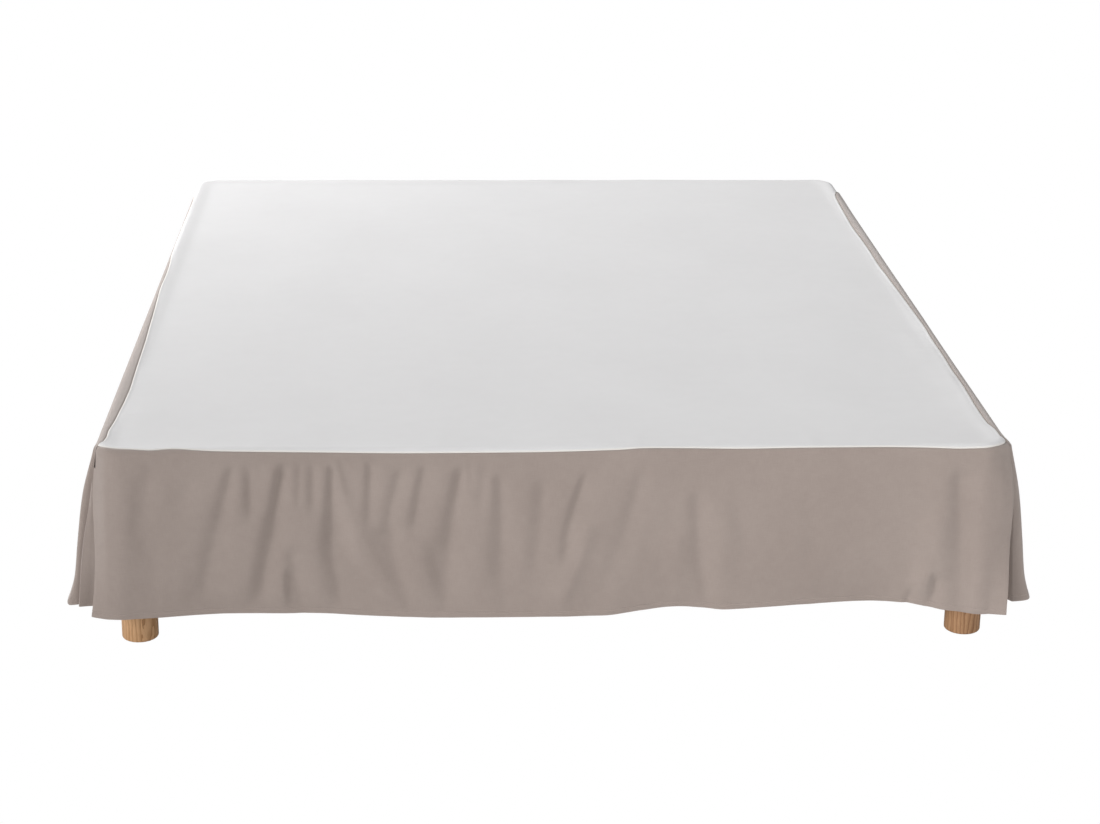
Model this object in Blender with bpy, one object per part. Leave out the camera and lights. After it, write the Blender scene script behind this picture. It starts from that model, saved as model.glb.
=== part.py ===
"""Bed skirt on a bed base: a white platform sheet, a taupe strip on three sides, corner pleats.

Metres, +Z up. X runs across the bed, Y along it, and the foot end is at -Y. The head end
carries no strip. The tables are measured from the floor under the middle of the base. The
skirt stands out at the foot alone, so every solid is moved CENTRE_Y towards the head, which
puts the origin on the floor under the middle of the whole part.
"""

import math

import bmesh
import bpy
import numpy as np

# ---- the base and its legs ----
BASE_WIDTH = 1.600
BASE_LENGTH = 2.000
BASE_TOP = 0.368
BASE_BOTTOM = 0.200
BASE_CORNER = 0.050
BASE_EDGE = 0.010
BASE_EDGE_STEPS = 3
BASE_CORNER_STEPS = 8
LEG_RADIUS = 0.0325
LEG_ARRIS = 0.004
LEG_SIDES = 28
LEG_LEFT_X = -0.741
LEG_RIGHT_X = 0.748
LEG_Y = 0.950
SEAT_GAP = 0.0003
CENTRE_Y = 0.013

# ---- the cloth ----
CLOTH = 0.002
EDGE_CLEAR = 0.0026
SHEET_LIFT = SEAT_GAP + CLOTH / 2
RIM_LIFT = EDGE_CLEAR + CLOTH / 2
RIM_FADE = 0.030
SEAM_GAP = 0.0012
FALL_TOP = BASE_TOP - BASE_EDGE
ROLL = BASE_EDGE + RIM_LIFT
ROLL_ARC = ROLL * math.pi / 2
CORNER_INNER = BASE_CORNER - BASE_EDGE
CORNER_FACE = BASE_CORNER + RIM_LIFT
HALF_X = BASE_WIDTH / 2 - BASE_EDGE
HALF_Y = BASE_LENGTH / 2 - BASE_EDGE
FOOT_TURN = CORNER_FACE * math.radians(72)
HEAD_TURN = 0.045

# Heights at which the leans and the pleat points are given.
LEVELS = (0.358, 0.270, 0.180, 0.115, 0.065)

# Seam lines: place along the edge, and how far in from the hanging face the seam lies there.
# columns: along, inset
FOOT_SEAM = (
    (-0.830, 0.0035), (-0.8174, 0.0047), (-0.8039, 0.0073), (-0.7904, 0.0102), (-0.7769, 0.0123),
    (-0.7635, 0.0132), (-0.750, 0.0130), (-0.727, 0.0101), (-0.703, 0.0079), (-0.663, 0.0120),
    (-0.624, 0.0078), (-0.583, 0.0055), (-0.430, 0.0033), (-0.246, 0.0017), (-0.047, 0.0020),
    (0.110, 0.0043), (0.158, 0.0070), (0.209, 0.0066), (0.326, 0.0048), (0.440, 0.0060),
    (0.568, 0.0064), (0.652, 0.0049), (0.711, 0.0032), (0.750, 0.0038), (0.777, 0.0044),
    (0.7904, 0.0042), (0.8039, 0.0034), (0.8174, 0.0030), (0.830, 0.0030),
)
# columns: along, left_inset, right_inset
SIDE_SEAM = (
    (-0.985, 0.0040, 0.0030), (-0.9668, 0.0047, 0.0030), (-0.9584, 0.0106, 0.0074),
    (-0.950, 0.0146, 0.0110), (-0.925, 0.0174, 0.0114), (-0.912, 0.0170, 0.0120),
    (-0.896, 0.0167, 0.0154), (-0.880, 0.0178, 0.0184), (-0.850, 0.0204, 0.0196),
    (-0.797, 0.0225, 0.0196), (-0.730, 0.0250, 0.0180), (-0.660, 0.0260, 0.0167),
    (-0.580, 0.0245, 0.0178), (-0.480, 0.0228, 0.0162), (-0.380, 0.0214, 0.0164),
    (-0.290, 0.0189, 0.0146), (-0.170, 0.0157, 0.0164), (-0.060, 0.0120, 0.0180),
    (0.030, 0.0096, 0.0200), (0.110, 0.0108, 0.0214), (0.200, 0.0095, 0.0234),
    (0.300, 0.0045, 0.0222), (0.400, 0.0034, 0.0230), (0.506, 0.0034, 0.0248),
    (0.660, 0.0050, 0.0218), (0.780, 0.0055, 0.0182), (0.830, 0.0036, 0.0150),
    (0.850, 0.0018, 0.0112), (0.868, 0.0004, 0.0066), (0.886, -0.0008, 0.0026),
    (0.904, -0.0035, 0.0004), (0.925, -0.0065, -0.0012), (0.950, -0.0100, -0.0060),
    (1.010, -0.0120, -0.0110),
)

# How far each strip stands out from its face at the five levels, and the height of its hem.
# columns: along, lean_0, lean_1, lean_2, lean_3, lean_4, hem
FOOT_HANG = (
    (-0.768, 0.0000, 0.0120, 0.0160, 0.0180, 0.0200, 0.0627),
    (-0.750, 0.0000, 0.0110, 0.0140, 0.0150, 0.0160, 0.0630),
    (-0.700, 0.0000, 0.0080, 0.0100, 0.0110, 0.0120, 0.0640),
    (-0.628, 0.0000, 0.0060, 0.0070, 0.0065, 0.0060, 0.0666),
    (-0.571, 0.0000, 0.0055, 0.0060, 0.0050, 0.0035, 0.0678),
    (-0.417, 0.0000, 0.0055, 0.0060, 0.0055, 0.0050, 0.0672),
    (-0.337, 0.0000, 0.0070, 0.0090, 0.0100, 0.0105, 0.0646),
    (-0.248, 0.0000, 0.0085, 0.0120, 0.0145, 0.0160, 0.0623),
    (-0.098, 0.0000, 0.0090, 0.0130, 0.0155, 0.0175, 0.0615),
    (0.080, 0.0000, 0.0090, 0.0120, 0.0145, 0.0165, 0.0620),
    (0.153, 0.0000, 0.0060, 0.0070, 0.0060, 0.0050, 0.0670),
    (0.215, 0.0000, 0.0040, 0.0035, 0.0000, -0.0045, 0.0714),
    (0.260, 0.0000, 0.0045, 0.0045, 0.0025, 0.0000, 0.0694),
    (0.304, 0.0000, 0.0060, 0.0070, 0.0065, 0.0055, 0.0668),
    (0.368, 0.0000, 0.0045, 0.0045, 0.0030, 0.0010, 0.0689),
    (0.440, 0.0000, 0.0035, 0.0030, 0.0000, -0.0050, 0.0714),
    (0.568, 0.0000, 0.0030, 0.0015, -0.0050, -0.0125, 0.0749),
    (0.622, 0.0000, 0.0035, 0.0020, -0.0035, -0.0095, 0.0736),
    (0.700, 0.0000, 0.0080, 0.0100, 0.0105, 0.0110, 0.0645),
    (0.750, 0.0000, 0.0115, 0.0150, 0.0180, 0.0200, 0.0600),
    (0.768, 0.0000, 0.0136, 0.0180, 0.0212, 0.0236, 0.0600),
)
LEFT_HANG = (
    (-0.880, 0.0000, 0.0170, 0.0290, 0.0370, 0.0430, 0.0640),
    (-0.800, 0.0000, 0.0085, 0.0170, 0.0210, 0.0240, 0.0650),
    (-0.690, 0.0000, 0.0060, 0.0090, 0.0120, 0.0140, 0.0665),
    (-0.540, 0.0000, 0.0080, 0.0140, 0.0190, 0.0230, 0.0640),
    (-0.390, 0.0000, 0.0050, 0.0070, 0.0090, 0.0100, 0.0670),
    (-0.230, 0.0000, 0.0070, 0.0120, 0.0170, 0.0210, 0.0645),
    (-0.060, 0.0000, 0.0090, 0.0150, 0.0200, 0.0250, 0.0630),
    (0.120, 0.0000, 0.0050, 0.0070, 0.0080, 0.0090, 0.0675),
    (0.300, 0.0000, 0.0065, 0.0100, 0.0140, 0.0170, 0.0655),
    (0.470, 0.0000, 0.0085, 0.0140, 0.0190, 0.0230, 0.0640),
    (0.640, 0.0000, 0.0050, 0.0060, 0.0070, 0.0070, 0.0680),
    (0.800, 0.0000, 0.0060, 0.0090, 0.0120, 0.0150, 0.0660),
    (0.900, 0.0000, 0.0080, 0.0120, 0.0160, 0.0190, 0.0650),
    (0.960, 0.0000, 0.0080, 0.0125, 0.0165, 0.0200, 0.0648),
    (0.991, 0.0000, 0.0080, 0.0125, 0.0165, 0.0200, 0.0648),
)
RIGHT_HANG = (
    (-0.880, 0.0000, 0.0170, 0.0290, 0.0370, 0.0440, 0.0640),
    (-0.800, 0.0000, 0.0085, 0.0160, 0.0210, 0.0250, 0.0650),
    (-0.660, 0.0000, 0.0065, 0.0100, 0.0130, 0.0160, 0.0655),
    (-0.500, 0.0000, 0.0045, 0.0060, 0.0070, 0.0080, 0.0675),
    (-0.330, 0.0007, 0.0080, 0.0140, 0.0190, 0.0240, 0.0635),
    (-0.170, 0.0026, 0.0060, 0.0090, 0.0110, 0.0130, 0.0665),
    (0.000, 0.0026, 0.0050, 0.0070, 0.0080, 0.0090, 0.0680),
    (0.170, 0.0026, 0.0085, 0.0150, 0.0200, 0.0240, 0.0640),
    (0.350, 0.0037, 0.0060, 0.0090, 0.0120, 0.0140, 0.0660),
    (0.520, 0.0046, 0.0075, 0.0120, 0.0170, 0.0210, 0.0645),
    (0.700, 0.0056, 0.0064, 0.0072, 0.0090, 0.0100, 0.0672),
    (0.850, 0.0076, 0.0084, 0.0110, 0.0150, 0.0180, 0.0655),
    (0.950, 0.0080, 0.0088, 0.0125, 0.0165, 0.0200, 0.0648),
    (0.991, 0.0080, 0.0088, 0.0125, 0.0165, 0.0200, 0.0648),
)

# Pleat points: x and y at each of the LEVELS, in the order in which the strip runs.
# "shown" points hang from the seam at "along" (their place on that strip's edge); the others
# are the layers hidden behind, which start at the row HIDDEN_ROW.
# columns: point, along, hem, level_0, level_1, level_2, level_3, level_4
FOOT_LEFT_PLEAT = (
    ("return_end", None, 0.0640, (-0.7645, -1.0041), (-0.7645, -1.0060), (-0.7650, -1.0090),
     (-0.7650, -1.0095), (-0.7650, -1.0090)),
    ("return_mid", None, 0.0635, (-0.7883, -0.9908), (-0.7880, -0.9950), (-0.7895, -1.0000),
     (-0.7910, -1.0030), (-0.7930, -1.0050)),
    ("turn", None, 0.0640, (-0.7970, -0.9669), (-0.8040, -0.9790), (-0.8030, -0.9930),
     (-0.8073, -1.0007), (-0.8132, -1.0066)),
    ("tip", None, 0.0640, (-0.8016, -0.9668), (-0.8082, -0.9802), (-0.8070, -0.9943),
     (-0.8107, -1.0029), (-0.8162, -1.0094)),
    ("fold", -0.8130, 0.0640, (-0.7998, -0.9706), (-0.8030, -0.9855), (-0.8028, -0.9982),
     (-0.8078, -1.0051), (-0.8129, -1.0111)),
    ("shoulder", -0.7860, 0.0625, (-0.7832, -0.9913), (-0.7860, -1.0055), (-0.7870, -1.0110),
     (-0.7880, -1.0140), (-0.7900, -1.0170)),
)
FOOT_RIGHT_PLEAT = (
    ("shoulder", 0.7860, 0.0600, (0.7832, -0.9913), (0.7880, -1.0100), (0.7860, -1.0150),
     (0.7840, -1.0200), (0.7820, -1.0240)),
    ("fold", 0.8140, 0.0605, (0.8046, -0.9716), (0.8100, -1.0000), (0.8064, -1.0091),
     (0.8058, -1.0200), (0.8034, -1.0295)),
    ("tip", None, 0.0605, (0.8048, -0.9684), (0.8125, -0.9974), (0.8096, -1.0073),
     (0.8094, -1.0192), (0.8071, -1.0296)),
    ("turn", None, 0.0605, (0.8015, -0.9690), (0.8090, -0.9948), (0.8066, -1.0047),
     (0.8072, -1.0158), (0.8058, -1.0257)),
    ("return_mid", None, 0.0620, (0.7884, -0.9907), (0.7890, -0.9965), (0.7895, -1.0030),
     (0.7890, -1.0080), (0.7880, -1.0120)),
    ("return_end", None, 0.0630, (0.7645, -1.0041), (0.7645, -1.0065), (0.7650, -1.0100),
     (0.7650, -1.0120), (0.7650, -1.0130)),
)
LEFT_PLEAT = (
    ("underlay_end", None, 0.0655, (-0.7634, -0.9998), (-0.7637, -1.0015), (-0.7640, -1.0030),
     (-0.7645, -0.9990), (-0.7650, -0.9930)),
    ("underlay_mid", None, 0.0650, (-0.7843, -0.9877), (-0.7878, -0.9890), (-0.7905, -0.9900),
     (-0.7940, -0.9850), (-0.7970, -0.9800)),
    ("underlay_out", None, 0.0648, (-0.7973, -0.9694), (-0.7990, -0.9745), (-0.8040, -0.9780),
     (-0.8090, -0.9730), (-0.8140, -0.9665)),
    ("corner_under", None, 0.0646, (-0.8030, -0.9700), (-0.8130, -0.9712), (-0.8180, -0.9720),
     (-0.8245, -0.9690), (-0.8290, -0.9655)),
    ("inner_lobe", -0.9672, 0.0645, (-0.8007, -0.9669), (-0.8150, -0.9670), (-0.8315, -0.9670),
     (-0.8395, -0.9660), (-0.8440, -0.9655)),
    ("inner_back", -0.9650, 0.0645, (-0.8013, -0.9648), (-0.8140, -0.9618), (-0.8305, -0.9618),
     (-0.8385, -0.9610), (-0.8430, -0.9600)),
    ("valley", -0.9615, 0.0645, (-0.8022, -0.9614), (-0.8110, -0.9560), (-0.8235, -0.9540),
     (-0.8310, -0.9530), (-0.8370, -0.9520)),
    ("outer_lobe", -0.9560, 0.0615, (-0.8060, -0.9560), (-0.8290, -0.9520), (-0.8425, -0.9510),
     (-0.8505, -0.9510), (-0.8640, -0.9505)),
    ("lobe_side", -0.9400, 0.0650, (-0.8042, -0.9380), (-0.8300, -0.9340), (-0.8435, -0.9320),
     (-0.8530, -0.9310), (-0.8685, -0.9290)),
    ("lobe_end", -0.9130, 0.0640, (-0.8034, -0.9130), (-0.8260, -0.9090), (-0.8400, -0.9070),
     (-0.8500, -0.9060), (-0.8600, -0.9040)),
)
RIGHT_PLEAT = (
    ("underlay_end", None, 0.0655, (0.7634, -0.9998), (0.7637, -1.0015), (0.7640, -1.0030),
     (0.7645, -1.0010), (0.7650, -0.9960)),
    ("underlay_mid", None, 0.0650, (0.7843, -0.9877), (0.7878, -0.9890), (0.7905, -0.9900),
     (0.7930, -0.9880), (0.7950, -0.9840)),
    ("underlay_out", None, 0.0660, (0.7952, -0.9704), (0.8040, -0.9725), (0.8080, -0.9735),
     (0.8110, -0.9730), (0.8140, -0.9700)),
    ("corner_under", None, 0.0670, (0.7970, -0.9735), (0.8105, -0.9765), (0.8150, -0.9762),
     (0.8190, -0.9755), (0.8215, -0.9745)),
    ("lobe_front", -0.9672, 0.0650, (0.7998, -0.9698), (0.8165, -0.9790), (0.8215, -0.9795),
     (0.8255, -0.9800), (0.8290, -0.9800)),
    ("outer_lobe", -0.9580, 0.0650, (0.8105, -0.9590), (0.8290, -0.9670), (0.8410, -0.9690),
     (0.8485, -0.9710), (0.8600, -0.9720)),
    ("lobe_side", -0.9380, 0.0670, (0.8065, -0.9380), (0.8310, -0.9440), (0.8430, -0.9450),
     (0.8515, -0.9460), (0.8660, -0.9470)),
    ("lobe_end", -0.9120, 0.0640, (0.8034, -0.9120), (0.8265, -0.9150), (0.8400, -0.9150),
     (0.8490, -0.9150), (0.8600, -0.9150)),
)

# Soft troughs (negative depth) and ridges in the strips: place at three heights, the
# heights between which the fold shows, how deep and how wide it is.
# columns: at_high, at_mid, at_low, from_z, to_z, depth, width
FOLD_HEIGHTS = (0.350, 0.200, 0.070)
FOOT_FOLDS = (
    (-0.695, -0.732, -0.730, 0.350, 0.130, -0.0025, 0.020),
    (-0.557, -0.612, -0.626, 0.365, 0.060, -0.0060, 0.017),
    (-0.532, -0.530, -0.530, 0.350, 0.180, -0.0025, 0.013),
    (-0.472, -0.514, -0.531, 0.365, 0.060, -0.0060, 0.016),
    (-0.392, -0.397, -0.384, 0.365, 0.060, -0.0065, 0.015),
    (-0.366, -0.340, -0.262, 0.320, 0.050, -0.0045, 0.018),
    (-0.228, -0.250, -0.245, 0.360, 0.170, -0.0035, 0.014),
    (-0.158, -0.208, -0.196, 0.365, 0.040, -0.0065, 0.017),
    (-0.105, -0.108, -0.094, 0.330, 0.060, -0.0035, 0.016),
    (-0.025, -0.041, -0.045, 0.330, 0.180, -0.0030, 0.018),
    (0.055, 0.013, 0.008, 0.360, 0.130, -0.0070, 0.017),
    (0.140, 0.083, 0.024, 0.330, 0.040, -0.0045, 0.022),
    (0.238, 0.244, 0.262, 0.330, 0.060, -0.0030, 0.020),
    (0.311, 0.317, 0.313, 0.310, 0.100, -0.0020, 0.018),
    (0.700, 0.700, 0.712, 0.350, 0.040, -0.0070, 0.020),
    (0.660, 0.655, 0.664, 0.160, 0.050, -0.0040, 0.016),
)
LEFT_FOLDS = (
    (-0.735, -0.750, -0.760, 0.360, 0.040, -0.0060, 0.022),
    (-0.610, -0.590, -0.600, 0.350, 0.060, -0.0050, 0.020),
    (-0.440, -0.455, -0.440, 0.360, 0.040, -0.0060, 0.021),
    (-0.300, -0.280, -0.275, 0.330, 0.090, -0.0040, 0.022),
    (-0.130, -0.150, -0.160, 0.360, 0.040, -0.0065, 0.022),
    (0.060, 0.050, 0.065, 0.350, 0.050, -0.0045, 0.024),
    (0.230, 0.215, 0.205, 0.360, 0.040, -0.0060, 0.020),
    (0.400, 0.415, 0.410, 0.330, 0.070, -0.0040, 0.022),
    (0.560, 0.570, 0.590, 0.360, 0.040, -0.0060, 0.021),
    (0.740, 0.725, 0.720, 0.350, 0.080, -0.0045, 0.022),
)
RIGHT_FOLDS = (
    (-0.740, -0.725, -0.735, 0.350, 0.050, -0.0055, 0.021),
    (-0.570, -0.585, -0.600, 0.360, 0.040, -0.0060, 0.021),
    (-0.420, -0.410, -0.405, 0.330, 0.080, -0.0045, 0.022),
    (-0.250, -0.240, -0.225, 0.360, 0.040, -0.0060, 0.020),
    (-0.080, -0.095, -0.100, 0.340, 0.070, -0.0040, 0.024),
    (0.085, 0.095, 0.090, 0.360, 0.040, -0.0065, 0.021),
    (0.260, 0.250, 0.235, 0.340, 0.060, -0.0045, 0.022),
    (0.430, 0.440, 0.445, 0.360, 0.040, -0.0060, 0.021),
    (0.610, 0.600, 0.600, 0.340, 0.070, -0.0045, 0.023),
    (0.780, 0.790, 0.780, 0.350, 0.050, -0.0050, 0.022),
)

# A fold's swell beside its trough, how it fades at its two ends and near the strip's ends, and
# how far the cloth may swing in below the base.
FOLD_SWELL = 0.55
FOLD_START = (0.012, 0.045)
FOLD_END = 0.030
FOLD_PAST = 0.004
FOLD_FREE = 0.030
BELOW_BASE = 0.005
SWING_IN = 0.020

# ---- plain colours ----
BASE_COLOUR = (0.72, 0.70, 0.66)
DECK_COLOUR = (0.86, 0.86, 0.86)
OAK_COLOUR = (0.45, 0.27, 0.14)
TAUPE_COLOUR = (0.37, 0.30, 0.26)
CLOTH_ROUGHNESS = 0.9
OAK_ROUGHNESS = 0.55

# ---- how finely the solids are cut ----
PLEAT_STEPS = 2
MARK_SPARE = 0.008
STRIP_COLUMN = 0.036
CORNER_COLUMN = 0.010
SEAM_STEP = 0.004
FALL_ROWS = (0.0, 0.07, 0.18, 0.32, 0.47, 0.62, 0.76, 0.88, 0.955, 1.0)
ROLL_ROWS = (0.0, 0.28, 0.52, 0.76)
HIDDEN_ROW = 6
DECK_CORNER_STEPS = 6
SIDE_CORNER_STEPS = 3
DECK_ROLL_PART = 0.75
DECK_LEVEL_UNDER = 0.004
DECK_RIM = (0.67, 0.33, 0.0)
DECK_INNER = (-0.012, -0.030)
DECK_FLAT_STEPS = (0.0, 0.12, 0.24, 0.36, 0.50, 0.70, 1.0)
HEAD_PLACES = (-0.50, 0.0, 0.50)
HEAD_TURN_RUN = 0.006
STRIP_HEAD_END = 0.994


def hermite(xs, ys, at):
    """A smooth curve through the rows (xs, ys), flat-ended and without overshoot."""
    xs = np.asarray(xs, float)
    ys = np.asarray(ys, float)
    at = np.clip(np.asarray(at, float), xs[0], xs[-1])
    step = np.diff(xs)
    slope = np.diff(ys) / step
    tangent = np.zeros(len(xs))
    both = slope[:-1] * slope[1:] > 0
    weight = 2 * slope[:-1] * slope[1:] / np.where(both, slope[:-1] + slope[1:], 1.0)
    tangent[1:-1] = np.where(both, weight, 0.0)
    tangent[0] = slope[0]
    tangent[-1] = slope[-1]
    i = np.clip(np.searchsorted(xs, at, side="right") - 1, 0, len(step) - 1)
    u = (at - xs[i]) / step[i]
    h = step[i]
    start = (1 + 2 * u) * (1 - u) ** 2 * ys[i] + u * (1 - u) ** 2 * h * tangent[i]
    end = u * u * (3 - 2 * u) * ys[i + 1] + u * u * (u - 1) * h * tangent[i + 1]
    return start + end


def column(table, index):
    return [row[index] for row in table]


def smooth(low, high, value):
    """0 below low, 1 above high, an S-curve between."""
    u = np.clip((value - low) / (high - low), 0.0, 1.0)
    return u * u * (3 - 2 * u)


class Side:
    """One edge of the base: its middle, the way along it and the way out from it."""

    def __init__(self, along, out, straight, reach):
        self.along = np.array(along, float)
        self.out = np.array(out, float)
        self.straight = straight
        self.reach = reach

    def rim(self, q):
        """The line where the cloth starts to roll over, and the way out from it."""
        flat = np.clip(q, -self.straight, self.straight)
        angle = (q - flat) / CORNER_FACE
        n = np.outer(np.cos(angle), self.out) + np.outer(np.sin(angle), self.along)
        centre = np.outer(flat, self.along) + self.out * (self.reach - CORNER_INNER)
        return centre + n * CORNER_INNER, n


FOOT = Side((1, 0), (0, -1), HALF_X - CORNER_INNER, HALF_Y)
LEFT = Side((0, 1), (-1, 0), HALF_Y - CORNER_INNER, HALF_X)
RIGHT = Side((0, 1), (1, 0), HALF_Y - CORNER_INNER, HALF_X)
HEAD = Side((1, 0), (0, 1), HALF_X - CORNER_INNER, HALF_Y)


def seam_reach(table, index, q):
    """How far past the rim line the seam lies, measured along the rolled cloth."""
    inset = np.array(column(table, index))
    in_roll = ROLL * np.arcsin(np.clip((ROLL - inset) / ROLL, 0.0, 1.0))
    reach = np.where(inset > ROLL, ROLL - inset, np.where(inset < 0, ROLL_ARC - inset, in_roll))
    return np.interp(q, column(table, 0), reach)


def rolled(inner, n, reach):
    """The point of the cloth that lies this far past the rim line: on top, in the roll or below."""
    angle = np.clip(reach / ROLL, 0.0, math.pi / 2)
    out = np.where(reach < 0, reach, ROLL * np.sin(angle))
    drop = np.maximum(reach - ROLL_ARC, 0.0)
    z = FALL_TOP + ROLL * np.cos(angle) - drop
    lift = (RIM_LIFT - SHEET_LIFT) * smooth(0.0, RIM_FADE, -reach)
    return np.column_stack([inner + n * out[:, None], z - lift])


def stand_off(flat, least):
    """Plan points moved out, where they need it, to stand clear of the base's outline."""
    half = np.array([BASE_WIDTH, BASE_LENGTH]) / 2 - BASE_CORNER
    away = flat - np.clip(flat, -half, half)
    far = np.linalg.norm(away, axis=1)
    short = np.maximum(BASE_CORNER + least - far, 0.0)
    return flat + away / far[:, None] * short[:, None]


def fold_depth(table, along, z):
    """Troughs and ridges: a dip with a softer swell on each side, faded at its two ends."""
    total = np.zeros_like(along)
    for high, mid, low, z_from, z_to, depth, width in table:
        centre = hermite(FOLD_HEIGHTS[::-1], (low, mid, high), z)
        u = (along - centre) / width
        shape = (1.0 - FOLD_SWELL * u * u) * np.exp(-0.5 * u * u)
        start = smooth(z_from + FOLD_START[0], z_from - FOLD_START[1], z)
        fade = start * smooth(z_to - FOLD_END, z_to + FOLD_END, z)
        total = total + depth * shape * fade
    return total


def main_places(side, seam_table, hang):
    """The stations between the tabled ones: on the seam's rows, and closer round a corner."""
    first, last = hang[0][0], hang[-1][0]
    low, high = max(first, -side.straight), min(last, side.straight)
    marks = [q for q in column(seam_table, 0) if low + MARK_SPARE < q < high - MARK_SPARE]
    marks = sorted({first, low, high, last, *marks})
    places = [first]
    for start, end in zip(marks, marks[1:]):
        step = STRIP_COLUMN if low <= start < high else CORNER_COLUMN
        count = max(1, int(round((end - start) / step)))
        places += list(np.linspace(start, end, count + 1))[1:]
    return places


def strip_stations(side, seam_table, before, hang, after):
    """Every station of a strip: its place on the edge, hem, whether hidden, and its plan."""
    stations = []
    for rows in (before, None, after):
        if rows is None:
            for q in main_places(side, seam_table, hang):
                inner, n = side.rim(np.array([q]))
                face = inner[0] + n[0] * ROLL
                row = [float(hermite(column(hang, 0), column(hang, c), q)) for c in range(1, 7)]
                plan = [face + n[0] * lean for lean in row[:5]]
                stations.append((q, row[5], 0.0, plan, 1.0))
            continue
        shown = [row[1] for row in rows if row[1] is not None]
        for k, row in enumerate(rows):
            hidden = row[1] is None
            near = min(shown, key=lambda q: abs(q - (shown[0] if rows is before else shown[-1])))
            q = near if hidden else row[1]
            plan = [np.array(point) for point in row[3:8]]
            stations.append((q, row[2], 1.0 if hidden else 0.0, plan, 0.0))
    return stations


def spline_weights(points, steps):
    """Places between the stations: station index and how far on, finer in the pleats."""
    places = []
    for k in range(len(points) - 1):
        count = steps[k]
        places += [k + i / count for i in range(count)]
    return np.array(places + [len(points) - 1.0])


def through(values, knots, places):
    """A centripetal curve through the values, one row for each of the knots."""
    values = np.asarray(values, float)
    k = np.clip(np.floor(places).astype(int), 0, len(knots) - 2)
    u = (places - k)[:, None]
    span = (knots[k + 1] - knots[k])[:, None]
    before = np.maximum(k - 1, 0)
    after = np.minimum(k + 2, len(knots) - 1)
    slope_in = (values[k + 1] - values[before]) / (knots[k + 1] - knots[before])[:, None]
    slope_out = (values[after] - values[k]) / (knots[after] - knots[k])[:, None]
    a = (1 + 2 * u) * (1 - u) ** 2 * values[k] + u * (1 - u) ** 2 * span * slope_in
    b = u * u * (3 - 2 * u) * values[k + 1] + u * u * (u - 1) * span * slope_out
    return a + b


def strip_grid(side, seam, before, hang, after, folds):
    """The middle surface of a strip: rows from the seam to the hem, columns along it."""
    stations = strip_stations(side, seam[0], before, hang, after)
    hem_plan = np.array([s[3][4] for s in stations])
    knots = np.concatenate([[0.0], np.cumsum(np.sqrt(np.linalg.norm(np.diff(hem_plan, axis=0),
                                                                    axis=1)))])
    is_main = [s[4] for s in stations]
    steps = [1 if (is_main[k] and is_main[k + 1]) or stations[k][2] != stations[k + 1][2]
             else PLEAT_STEPS for k in range(len(stations) - 1)]
    places = spline_weights(stations, steps)
    whole = np.arange(len(stations), dtype=float)
    q = np.interp(places, whole, [s[0] for s in stations])
    hem = np.interp(places, whole, [s[1] for s in stations])
    hidden = np.interp(places, whole, [s[2] for s in stations])
    inner, n = side.rim(q)
    reach = seam_reach(*seam, q) + SEAM_GAP / 2
    levels = np.array([[through([s[3][m] for s in stations], knots, places)[:, axis]
                        for m in range(5)] for axis in (0, 1)])

    def plan_at(z):
        """Plan place of every column at its own height z."""
        flat = np.empty((len(z), 2))
        for axis in (0, 1):
            for i in range(len(z)):
                flat[i, axis] = hermite(LEVELS[::-1], levels[axis, ::-1, i], z[i])
        return np.where(z[:, None] > BASE_BOTTOM, stand_off(flat, RIM_LIFT), flat)

    under_face = np.maximum(reach + SEAM_STEP - ROLL_ARC, 0.0)
    turned = ROLL_ARC + under_face
    top = FALL_TOP - under_face
    face = inner + n * ROLL
    shift = plan_at(np.full(len(q), FALL_TOP)) - face
    rows = []
    for part in ROLL_ROWS:
        at = reach + (turned - reach) * part
        row = rolled(inner, n, at)
        row[:, :2] += shift * (np.clip(at / ROLL_ARC, 0, 1) ** 2)[:, None]
        rows.append(row)
    for part in FALL_ROWS:
        z = top + (hem - top) * part
        flat = plan_at(z)
        along = flat @ side.along
        normal = np.gradient(flat, axis=0)
        normal = np.column_stack([normal[:, 1], -normal[:, 0]])
        normal /= np.linalg.norm(normal, axis=1)[:, None]
        normal *= np.sign(np.sum(normal * n, axis=1))[:, None]
        inside = smooth(hang[0][0] - FOLD_PAST, hang[0][0] + FOLD_FREE, q)
        inside = inside * smooth(hang[-1][0] + FOLD_PAST, hang[-1][0] - FOLD_FREE, q)
        depth = fold_depth(folds, along, z) * inside * (part > 0)
        out = np.sum((flat - face) * n, axis=1)
        free = np.where(z < BASE_BOTTOM - BELOW_BASE, -SWING_IN, 0.0)
        depth = np.maximum(depth, free - np.maximum(out, 0.0) * (depth < 0)) * (1 - hidden)
        rows.append(np.column_stack([flat + normal * depth[:, None], z]))
    shown = hidden == 0
    kept = np.repeat((shown[:-1] & shown[1:])[None, :], len(rows) - 1, axis=0)
    kept[HIDDEN_ROW:] = True
    return np.array(rows), kept


def grid_normals(grid, kept):
    """Unit normals of a grid of points: the mean of the kept faces that meet at each one."""
    face = np.cross(grid[1:, 1:] - grid[:-1, :-1], grid[1:, :-1] - grid[:-1, 1:])
    face *= kept[:, :, None] / np.linalg.norm(face, axis=2)[:, :, None]
    normal = np.zeros_like(grid)
    normal[:-1, :-1] += face
    normal[:-1, 1:] += face
    normal[1:, :-1] += face
    normal[1:, 1:] += face
    length = np.linalg.norm(normal, axis=2)[:, :, None]
    return normal / np.where(length > 0, length, 1.0)


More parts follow.
